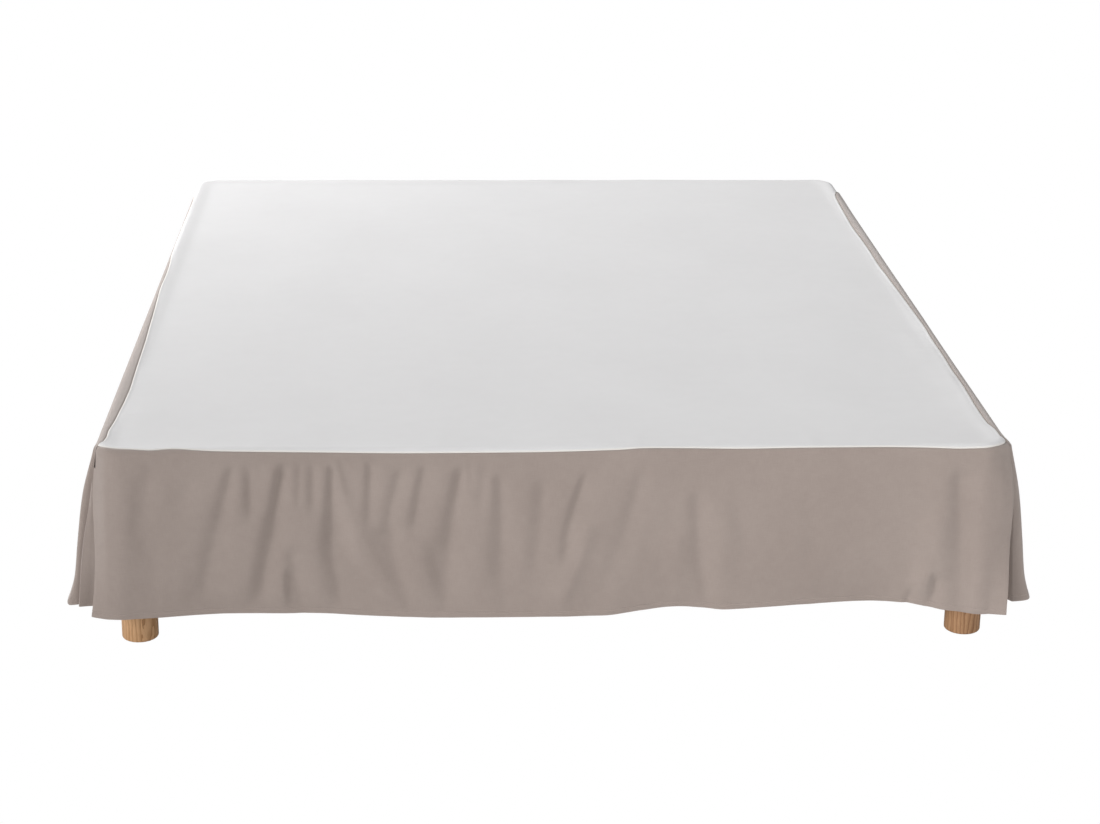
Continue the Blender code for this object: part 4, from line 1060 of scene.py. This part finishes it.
def main_places(side, hang, step):
    """Places along the hanging part, closer together round a corner."""
    first, last = hang[0][0], hang[-1][0]
    low, high = max(first, -side.straight), min(last, side.straight)
    pieces = [np.linspace(low, high, 1 + round((high - low) / step))]
    if first < low:
        pieces.insert(0, np.linspace(first, low, 1 + round((low - first) / CORNER_STEP))[:-1])
    if last > high:
        pieces.append(np.linspace(high, last, 1 + round((last - high) / CORNER_STEP))[1:])
    return np.concatenate(pieces)


def strip_stations(side, before, hang, after, step):
    """Every station: place on the edge, hem height, hidden or not, main or pleat, and its plan."""
    q = main_places(side, hang, step)
    inner, n = side.rim(q)
    leans = [curve(column(hang, 0), column(hang, 1 + k), q) for k in range(len(LEVELS))]
    plan = np.array([inner + n * (ROLL_RADIUS + lean)[:, None] for lean in leans])
    hem = curve(column(hang, 0), column(hang, -1), q)
    parts = [(q, hem, np.zeros(len(q)), np.ones(len(q)), plan)]
    for rows, end in ((before, 0), (after, -1)):
        if not rows:
            continue
        shown = [row[1] for row in rows if row[1] is not None]
        nearest = shown[end]
        at = np.array([nearest if row[1] is None else row[1] for row in rows])
        hidden = np.array([1.0 if row[1] is None else 0.0 for row in rows])
        path = np.array([[row[3 + k] for row in rows] for k in range(len(LEVELS))])
        part = (at, np.array(column(rows, 2)), hidden, np.zeros(len(rows)), path)
        parts.insert(0 if end == 0 else len(parts), part)
    stack = [np.concatenate([part[k] for part in parts]) for k in range(4)]
    return stack + [np.concatenate([part[4] for part in parts], axis=1)]


def stand_off(flat, least):
    """Plan points moved out, where they need it, to stand clear of the base's outline."""
    half = np.array([BASE_WIDTH, BASE_LENGTH]) / 2 - BASE_CORNER
    away = flat - np.clip(flat, -half, half)
    far = np.maximum(np.linalg.norm(away, axis=-1), 1e-6)
    short = np.maximum(BASE_CORNER + least - far, 0.0)
    return flat + away / far[..., None] * short[..., None]


# %% A strip's grid
SEAM_DIPS = ((-0.0010, -0.0016), (0.0, -0.0015), (0.0005, -0.0009), (0.0012, -0.00035),
             (0.0022, 0.0), (0.0040, 0.0001), (0.0070, 0.0))
HEM_PROUD = ((0.0, 0.00045), (0.0080, 0.00045), (0.0090, 0.0), (0.0096, -0.0001),
             (0.0102, 0.00005), (0.0108, 0.00045), (0.0125, 0.0))


def facing(grid, sign):
    """Unit normals of a grid, turned to the cloth's outer face."""
    normal = np.cross(np.gradient(grid, axis=0), np.gradient(grid, axis=1)) * sign
    length = np.maximum(np.linalg.norm(normal, axis=2), 1e-12)
    return normal / length[:, :, None]


def strip_grid(side, seam, before, hang, after, creases, seed, step, fall_rows):
    """The middle surface of a strip, which of its faces are kept, and the numbers it carries."""
    q, hem, hidden, main, plan = strip_stations(side, before, hang, after, step)
    hem_gap = np.linalg.norm(np.diff(plan[4], axis=0), axis=1)
    knots = np.concatenate([[0.0], np.cumsum(np.sqrt(hem_gap))])
    places = []
    for k in range(len(q) - 1):
        count = 1
        if not (main[k] and main[k + 1]) and hidden[k] == hidden[k + 1]:
            count = max(2, round(hem_gap[k] / PLEAT_STEP))
        places += [k + i / count for i in range(count)]
    places = np.array(places + [len(q) - 1.0])
    whole = np.arange(len(q), dtype=float)
    levels = np.array([through(level, knots, places) for level in plan])
    q, hem, hidden = (np.interp(places, whole, values) for values in (q, hem, hidden))
    inner, n = side.rim(q)
    reach = seam_reach(*seam, q) + SEAM_GAP / 2
    face = inner + n * ROLL_RADIUS

    under_face = np.maximum(reach + SEAM_STEP - ROLL_ARC, 0.0)
    turned = ROLL_ARC + under_face
    top = FALL_TOP - under_face
    plan_top = np.column_stack([curve(LEVELS[::-1], levels[::-1, :, a], np.full(len(q), FALL_TOP))
                                for a in (0, 1)])
    shift = plan_top - face
    rows = []
    from_seam = []
    for part in ROLL_ROWS:
        at = reach + (turned - reach) * part
        row = rolled(inner, n, at)
        row[:, :2] += shift * (np.clip(at / ROLL_ARC, 0, 1) ** 2)[:, None]
        rows.append(row)
        from_seam.append(at - reach)
    hem_rows = np.array(HEM_ROWS)[:, None] + hem
    parts = np.linspace(0.0, 1.0, fall_rows)[:, None]
    z = np.concatenate([top + (hem + HEM_BAND - top) * parts, hem_rows])
    flat = np.stack([curve(LEVELS[::-1], levels[::-1, :, a], z) for a in (0, 1)], axis=-1)
    flat = np.where(z[:, :, None] > BASE_BOTTOM, stand_off(flat, RIM_LIFT), flat)
    along = flat @ side.along
    way = np.gradient(flat, axis=1)
    normal = np.stack([way[:, :, 1], -way[:, :, 0]], axis=-1)
    normal /= np.maximum(np.linalg.norm(normal, axis=2), 1e-9)[:, :, None]
    normal *= np.where(np.sum(normal * n, axis=2) < 0, -1.0, 1.0)[:, :, None]

    inside = smooth(hang[0][0] - PLEAT_FADE[0], hang[0][0] + PLEAT_FADE[1], q)
    if after:
        inside = inside * smooth(hang[-1][0] + PLEAT_FADE[0], hang[-1][0] - PLEAT_FADE[1], q)
    depth = level_out(crease_depth(creases, along, z), round(LEVEL_REACH / step))
    depth += soft_waves(seed, along, z, *FINE_WAVES)
    depth *= smooth(top, top - SEAM_FADE, z)
    out = np.sum((flat - face) * n, axis=2)
    free = np.where(z < BASE_BOTTOM - FREE_BELOW, -DEEPEST_FREE, -FACE_SPARE)
    deepest = free - np.maximum(out, 0.0)
    depth = np.maximum(depth * inside, deepest) * (1 - hidden)

    rows += list(np.concatenate([flat + normal * depth[:, :, None], z[:, :, None]], axis=2))
    from_seam += list(turned - reach + top - z)
    grid = np.array(rows)
    from_seam = np.array(from_seam)
    from_hem = grid[:, :, 2] - hem

    raise_by = np.interp(from_seam, *zip(*SEAM_DIPS)) * (from_seam < LOOSE_FROM)
    raise_by += np.interp(from_hem, *zip(*HEM_PROUD))
    sign = -1.0 if side is LEFT else 1.0
    grid = grid + facing(grid, sign) * raise_by[:, :, None]
    kept = np.repeat(((hidden[:-1] == 0) & (hidden[1:] == 0))[None, :], len(grid) - 1, axis=0)
    kept[len(ROLL_ROWS) + int(HIDDEN_FROM * fall_rows):] = True
    return {"grid": grid, "kept": kept, "sign": sign, "from_hem": from_hem}


# %% From a grid to a piece
WELD = 1e-6


def rework(mesh, change):
    """Open the mesh for editing, make the change, and write it back."""
    edit = bmesh.new()
    edit.from_mesh(mesh)
    change(edit)
    edit.to_mesh(mesh)
    edit.free()


def outward(edit):
    """Turn every face of a closed mesh to the outside."""
    bmesh.ops.recalc_face_normals(edit, faces=edit.faces)


def map_metres(grid):
    """A map in metres along the threads: along a middle row, and down every column."""
    middle = len(grid) // 2
    along = np.linalg.norm(np.diff(grid[middle], axis=0), axis=1)
    down = np.linalg.norm(np.diff(grid, axis=0), axis=2)
    u = np.concatenate([[0.0], np.cumsum(along)])
    v = np.concatenate([np.zeros((1, grid.shape[1])), -np.cumsum(down, axis=0)])
    return np.repeat(u[None, :], len(grid), axis=0), v


def mesh_of(name, points, faces):
    """A mesh of these points, moved back to where the middle of the bed is."""
    mesh = bpy.data.meshes.new(name)
    mesh.from_pydata([(x, y + CENTRE_Y, z) for x, y, z in points], [], faces)
    return mesh


def cloth_piece(name, points, faces, spots, numbers, finish):
    """A thin closed sheet on a mesh of middle points, with its map and its own numbers."""
    mesh = mesh_of(name, points, faces)
    mesh.update()
    threads = mesh.uv_layers.new(name="threads")
    corner_points = np.empty(len(mesh.loops), dtype=np.int64)
    mesh.loops.foreach_get("vertex_index", corner_points)
    threads.data.foreach_set("uv", np.asarray(spots, np.float32)[corner_points].ravel())
    for label, values in numbers.items():
        layer = mesh.attributes.new(label, "FLOAT", "POINT")
        layer.data.foreach_set("value", np.asarray(values, np.float32))
    piece = put(name, mesh)
    piece.data.materials.append(finish)
    rework(mesh, lambda edit: bmesh.ops.remove_doubles(edit, verts=edit.verts, dist=WELD))
    start_piece(name)
    piece.select_set(True)
    bpy.context.view_layer.objects.active = piece
    body = piece.modifiers.new("body", "SOLIDIFY")
    body.thickness = CLOTH
    body.offset = 0.0
    bpy.ops.object.modifier_apply(modifier=body.name)
    rework(piece.data, outward)
    bpy.ops.object.shade_smooth_by_angle(angle=math.radians(50))
    return piece


def strip_piece(name, made):
    """The piece of a strip's grid: points that no kept face uses are left out."""
    grid, kept = made["grid"], made["kept"]
    rows, columns = grid.shape[:2]
    used = np.zeros((rows, columns), bool)
    for dj, di in ((0, 0), (1, 0), (0, 1), (1, 1)):
        used[dj:rows - 1 + dj, di:columns - 1 + di] |= kept
    number = np.cumsum(used.ravel()).reshape(rows, columns) - 1
    j, i = np.nonzero(kept)
    faces = np.column_stack([number[j, i], number[j + 1, i], number[j + 1, i + 1],
                             number[j, i + 1]])
    if made["sign"] < 0:
        faces = faces[:, ::-1]
    u, v = map_metres(grid)
    spots = np.column_stack([u[used], v[used]])
    made["flat"] = (float(u[0, -1]), float(-v[-1].mean()))
    return cloth_piece(name, grid[used], faces.tolist(), spots, {}, skirt_finish)


def sheet_area(piece):
    """Half the closed mesh's surface: the area of the cloth itself."""
    return sum(face.area for face in piece.data.polygons) / 2


def size_line(piece):
    """One line that says how big a piece came out."""
    points = np.array([v.co[:] for v in piece.data.vertices])
    size = np.round((points.max(0) - points.min(0)) * 1000)
    return f"{piece.name}: {size.tolist()} mm, {len(piece.data.polygons)} faces"


# %% Hem stitches
STITCH_PITCH = 0.0034
STITCH_LENGTH = 0.0025
STITCH_RADIUS = 0.00022
STITCH_START = 0.002
STITCH_RISE = 1.2
STITCH_SINK = 0.6
# each ring of a stitch: its share of the length, its share of the radius
STITCH_RINGS = ((0.0, 0.5), (0.25, 1.0), (0.75, 1.0), (1.0, 0.5))
STITCH_SIDES = ((1, 0), (0, 1), (-1, 0), (0, -1))


def stitch_piece(name, made):
    """The hem's line of stitches: short threads that lie on the cloth, joined as one mesh."""
    grid = made["grid"]
    row = int(np.argmin(np.abs(np.median(made["from_hem"], axis=1) - STITCH_LINE)))
    path = grid[row]
    normal = facing(grid, made["sign"])[row]
    down = grid[row + 1] - grid[row]
    down /= np.linalg.norm(down, axis=1)[:, None]
    run = np.concatenate([[0.0], np.cumsum(np.linalg.norm(np.diff(path, axis=0), axis=1))])

    def at(where, values):
        return np.column_stack([np.interp(where, run, values[:, a]) for a in range(3)])

    starts = np.arange(STITCH_START, run[-1] - STITCH_PITCH, STITCH_PITCH)
    rings = []
    for share, radius in STITCH_RINGS:
        where = starts + STITCH_LENGTH * share
        lift = CLOTH / 2 + STITCH_RADIUS * (radius * STITCH_RISE - STITCH_SINK)
        middle = at(where, path) + at(where, normal) * lift
        arm, out = at(where, down), at(where, normal)
        for a, b in STITCH_SIDES:
            rings.append(middle + (arm * a + out * b) * STITCH_RADIUS * radius)
    points = np.stack(rings, axis=1).reshape(-1, 3)
    faces = []
    sides = len(STITCH_SIDES)
    size = sides * len(STITCH_RINGS)
    for first in range(0, len(points), size):
        for ring in range(first, first + size - sides, sides):
            for side in range(sides):
                a, b = ring + side, ring + (side + 1) % sides
                faces.append((a, b, b + sides, a + sides))
        faces.append(tuple(range(first + sides - 1, first - 1, -1)))
        faces.append(tuple(range(first + size - sides, first + size)))
    mesh = mesh_of(name, points, faces)
    rework(mesh, outward)
    piece = put(name, mesh)
    piece.data.materials.append(thread_finish)
    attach(piece, "root")
    print(name, len(starts), "stitches")
    return piece


# %% [markdown]
# ## The three strips
#
# The foot strip has a pleat at each end, where it folds back behind itself. Each side strip starts
# with a hidden layer that lies behind the foot strip's fold, comes forward round the corner in a
# rounded lobe, and runs on to the head end. Every strip was cut straight, a little longer than the
# edge it hangs from, and hemmed along the bottom.

# %% Foot strip
foot_made = strip_grid(FOOT, (FOOT_SEAM, 1), FOOT_LEFT_PLEAT, FOOT_HANG, FOOT_RIGHT_PLEAT,
                       FOOT_CREASES, 11, MAIN_STEP, 60)
front_drop = strip_piece("front_drop", foot_made)
front_stitches = stitch_piece("front_hem_stitches", foot_made)
declare(front_drop, "skirt_front")
print(size_line(front_drop), "flat", np.round(foot_made["flat"], 3), "area",
      round(sheet_area(front_drop), 3))

# %% Side strips
SIDE_STEP = 0.0060
for name, side, seam, pleat, hang, creases, seed in (
        ("left", LEFT, (SIDE_SEAM, 1), LEFT_PLEAT, LEFT_HANG, LEFT_CREASES, 23),
        ("right", RIGHT, (SIDE_SEAM, 2), RIGHT_PLEAT, RIGHT_HANG, RIGHT_CREASES, 37)):
    made = strip_grid(side, seam, pleat, hang, (), creases, seed, SIDE_STEP, 52)
    drop = strip_piece(name + "_drop", made)
    stitches = stitch_piece(name + "_hem_stitches", made)
    declare(drop, "skirt_" + name)
    print(size_line(drop), "flat", np.round(made["flat"], 3), "area", round(sheet_area(drop), 3))

# %% [markdown]
# ## The platform sheet
#
# The white sheet is what the strips are sewn to. It lies flat on the base, rolls over the rounded
# edge, and meets the strips a little before or after the edge, because a skirt never sits quite
# true. At the head end there is no strip: the sheet is turned down over the edge and hemmed. It is
# built as rings that follow the edge and shrink towards the middle. Small puckers pull in from the
# seam where the strips were gathered by the machine, and the middle has a few faint waves.

# %% Puckers of the sheet
# columns: x, y, way it runs in degrees, length, width, height in mm (negative sinks)
PUCKERS = (
    (-0.770, 0.372, 8, 0.050, 0.010, 0.9), (-0.756, -0.145, -6, 0.055, 0.011, 1.0),
    (-0.752, -0.806, 10, 0.050, 0.009, 1.0), (-0.762, -0.887, -12, 0.040, 0.008, 0.9),
    (-0.764, 0.640, 4, 0.045, 0.010, 0.7), (-0.766, -0.480, -8, 0.040, 0.009, 0.7),
    (0.752, -0.438, 172, 0.055, 0.010, 1.0), (0.694, -0.302, 165, 0.060, 0.013, 0.8),
    (0.740, -0.460, 186, 0.055, 0.010, 0.9), (0.758, 0.215, 176, 0.045, 0.010, 0.8),
    (0.757, 0.560, 184, 0.050, 0.011, 0.8), (0.746, 0.884, 180, 0.052, 0.007, 1.0),
    (-0.520, -0.962, 84, 0.040, 0.010, 0.7), (-0.205, -0.968, 95, 0.045, 0.010, 0.8),
    (0.140, -0.960, 88, 0.045, 0.010, 0.7), (0.452, -0.960, 96, 0.040, 0.009, 0.7),
)
# columns: x, y at one end, x, y at the other, width, height in mm
LONG_FOLDS = (
    (0.749, -0.337, 0.766, -0.627, 0.020, 1.1), (0.766, -0.627, 0.779, -0.885, 0.018, 1.1),
    (-0.584, 0.957, 0.109, 0.975, 0.010, 1.2), (-0.735, -0.930, -0.760, -0.560, 0.022, 0.7),
)


def sheet_relief(x, y):
    """How far the sheet is raised off the base at each place, in metres; never below zero."""
    total = np.zeros_like(x)
    for px, py, turn, length, width, height in PUCKERS:
        c, s = math.cos(math.radians(turn)), math.sin(math.radians(turn))
        run = ((x - px) * c + (y - py) * s) / length
        over = (-(x - px) * s + (y - py) * c) / width
        total += height * np.exp(-0.5 * (run ** 2 * 4 + over ** 2)) * (1 - 0.4 * over ** 2)
    for ax, ay, bx, by, width, height in LONG_FOLDS:
        dx, dy = bx - ax, by - ay
        share = np.clip(((x - ax) * dx + (y - ay) * dy) / (dx * dx + dy * dy), 0.0, 1.0)
        off = np.hypot(x - ax - share * dx, y - ay - share * dy) / width
        total += height * np.exp(-0.5 * off ** 2)
    waves = soft_waves(5, x, y, 0.16, 0.50, 0.35) + soft_waves(6, y, x, 0.20, 0.60, 0.35)
    return np.maximum(total + 0.5 + waves, 0.0) / 1000


# %% Platform sheet
SHEET_STEP = 0.010
HEAD_STEP = 0.018
HEAD_TURN = 0.045
HEAD_TURN_RUN = 0.006
STRIP_HEAD_END = 0.994
FOOT_TURN = CORNER_FACE * math.radians(72)
EDGE_ROWS = (0.0, 0.0008, 0.0016, 0.0024, 0.0034, 0.0046, 0.0064, 0.0090)
EDGE_RISE = ((0.0, -0.0005), (0.0008, 0.0), (0.0020, 0.0005), (0.0034, 0.0004), (0.0064, 0.0))
INNER_ROWS = (-0.003, -0.009, -0.015, -0.022, -0.030)
INNER_SHARES = (0.12, 0.25, 0.40, 0.55, 0.70, 0.85, 1.0)
MIDDLE_HALF = 0.2
MIDDLE_REACH = 0.95
UNSEWN = 0.1
SLACK_FROM = 0.012
FLAT_FROM = 0.003
INWARD = (0.012, 0.025, 0.04, 0.056, 0.074, 0.095, 0.12, 0.15, 0.185, 0.225, 0.27, 0.32, 0.38,
          0.445, 0.515, 0.59, 0.67, 0.75, 0.83, 0.91, 1.0)


def spaced(start, end, step):
    """Places from start to end, about a step apart."""
    return np.linspace(start, end, 1 + max(1, round(abs(end - start) / step)))


def sheet_stations():
    """Places round the sheet's edge: rim point, way out, how far out it reaches, seam or not."""
    corner = CORNER_FACE * math.pi / 2
    foot_end = FOOT.straight + FOOT_TURN
    foot = np.concatenate([spaced(-foot_end, -FOOT.straight, CORNER_STEP)[:-1],
                           spaced(-FOOT.straight, FOOT.straight, SHEET_STEP)[:-1],
                           spaced(FOOT.straight, foot_end, CORNER_STEP)])
    side_end = RIGHT.straight + corner - FOOT_TURN
    sides = np.concatenate([spaced(-side_end, -RIGHT.straight, CORNER_STEP)[1:-1],
                            spaced(-RIGHT.straight, RIGHT.straight, SHEET_STEP)[:-1],
                            spaced(RIGHT.straight, STRIP_HEAD_END, CORNER_STEP)])
    head_end = HEAD.straight + corner - (STRIP_HEAD_END - RIGHT.straight) - HEAD_TURN_RUN
    head = np.concatenate([spaced(head_end, HEAD.straight, CORNER_STEP)[:-1],
                           spaced(HEAD.straight, -HEAD.straight, HEAD_STEP)[:-1],
                           spaced(-HEAD.straight, -head_end, CORNER_STEP)])
    parts = ((FOOT, foot, seam_reach(FOOT_SEAM, 1, foot) - SEAM_GAP / 2, 1.0),
             (RIGHT, sides, seam_reach(SIDE_SEAM, 2, sides) - SEAM_GAP / 2, 1.0),
             (HEAD, head, np.full(len(head), ROLL_ARC + HEAD_TURN), 0.0),
             (LEFT, sides[::-1], seam_reach(SIDE_SEAM, 1, sides[::-1]) - SEAM_GAP / 2, 1.0))
    rims = [side.rim(q) for side, q, edge, sewn in parts]
    inner = np.concatenate([rim[0] for rim in rims])
    n = np.concatenate([rim[1] for rim in rims])
    reach = np.concatenate([edge for side, q, edge, sewn in parts])
    sewn = np.concatenate([np.full(len(q), sewn) for side, q, edge, sewn in parts])
    return inner, n, reach, sewn


def sheet_rings():
    """The sheet as rings, each with its map and its distance from the seam."""
    inner, n, reach, sewn = sheet_stations()
    marks = [reach - step for step in EDGE_ROWS]
    last = marks[-1]
    for share in INNER_SHARES:
        marks.append(last + (INNER_ROWS[0] - last) * share)
    marks += [np.full(len(reach), place) for place in INNER_ROWS[1:]]
    marks = np.minimum.accumulate(np.array(marks), axis=0)
    rings, maps, off_seam = [], [], []
    for at in marks:
        ring = rolled(inner, n, at)
        lift = np.interp(reach - at, *zip(*EDGE_RISE)) * sewn
        angle = np.clip(at / ROLL_RADIUS, 0.0, math.pi / 2)
        ring[:, :2] += n * (lift * np.sin(angle))[:, None]
        ring[:, 2] += lift * np.cos(angle)
        rings.append(ring)
        maps.append(inner + n * at[:, None])
        off_seam.append(np.where(sewn > 0, reach - at, UNSEWN))
    edge = rings[-1]
    middle = np.column_stack([np.zeros(len(edge)),
                              np.clip(edge[:, 1] / MIDDLE_REACH, -1.0, 1.0) * MIDDLE_HALF])
    for share in INWARD:
        flat = edge[:, :2] * (1 - share) + middle * share
        rings.append(np.column_stack([flat, edge[:, 2]]))
        maps.append(flat)
        off_seam.append(np.full(len(edge), UNSEWN))
    rings, maps = np.array(rings), np.array(maps)
    rise = sheet_relief(rings[:, :, 0], rings[:, :, 1])
    slack = np.clip(np.array(off_seam) / SLACK_FROM, 0.0, 1.0)
    rings[:, :, 2] += rise * smooth(FALL_TOP + FLAT_FROM, BASE_TOP, rings[:, :, 2]) * slack
    return rings, maps, np.array(off_seam)


rings, maps, off_seam = sheet_rings()
count = rings.shape[1]
faces = []
for j in range(len(rings) - 1):
    for i in range(count):
        k = (i + 1) % count
        faces.append((j * count + i, (j + 1) * count + i, (j + 1) * count + k, j * count + k))
platform_sheet = cloth_piece("platform_sheet", rings.reshape(-1, 3), faces, maps.reshape(-1, 2),
                             {"from_seam": off_seam.ravel()}, sheet_finish)
declare(platform_sheet, "deck")

# %% [markdown]
# ## The finished size
#
# The frame's box and the finished box should agree within a few millimetres, since the fine pieces
# lie on the frame's own folds. Both are written down next to each other.

# %% Sizes
finished_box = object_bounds()
for label, (low, high) in (("frame", frame_box), ("finished", finished_box)):
    print(label, [round((b - a) * 1000, 1) for a, b in zip(low, high)], "mm")
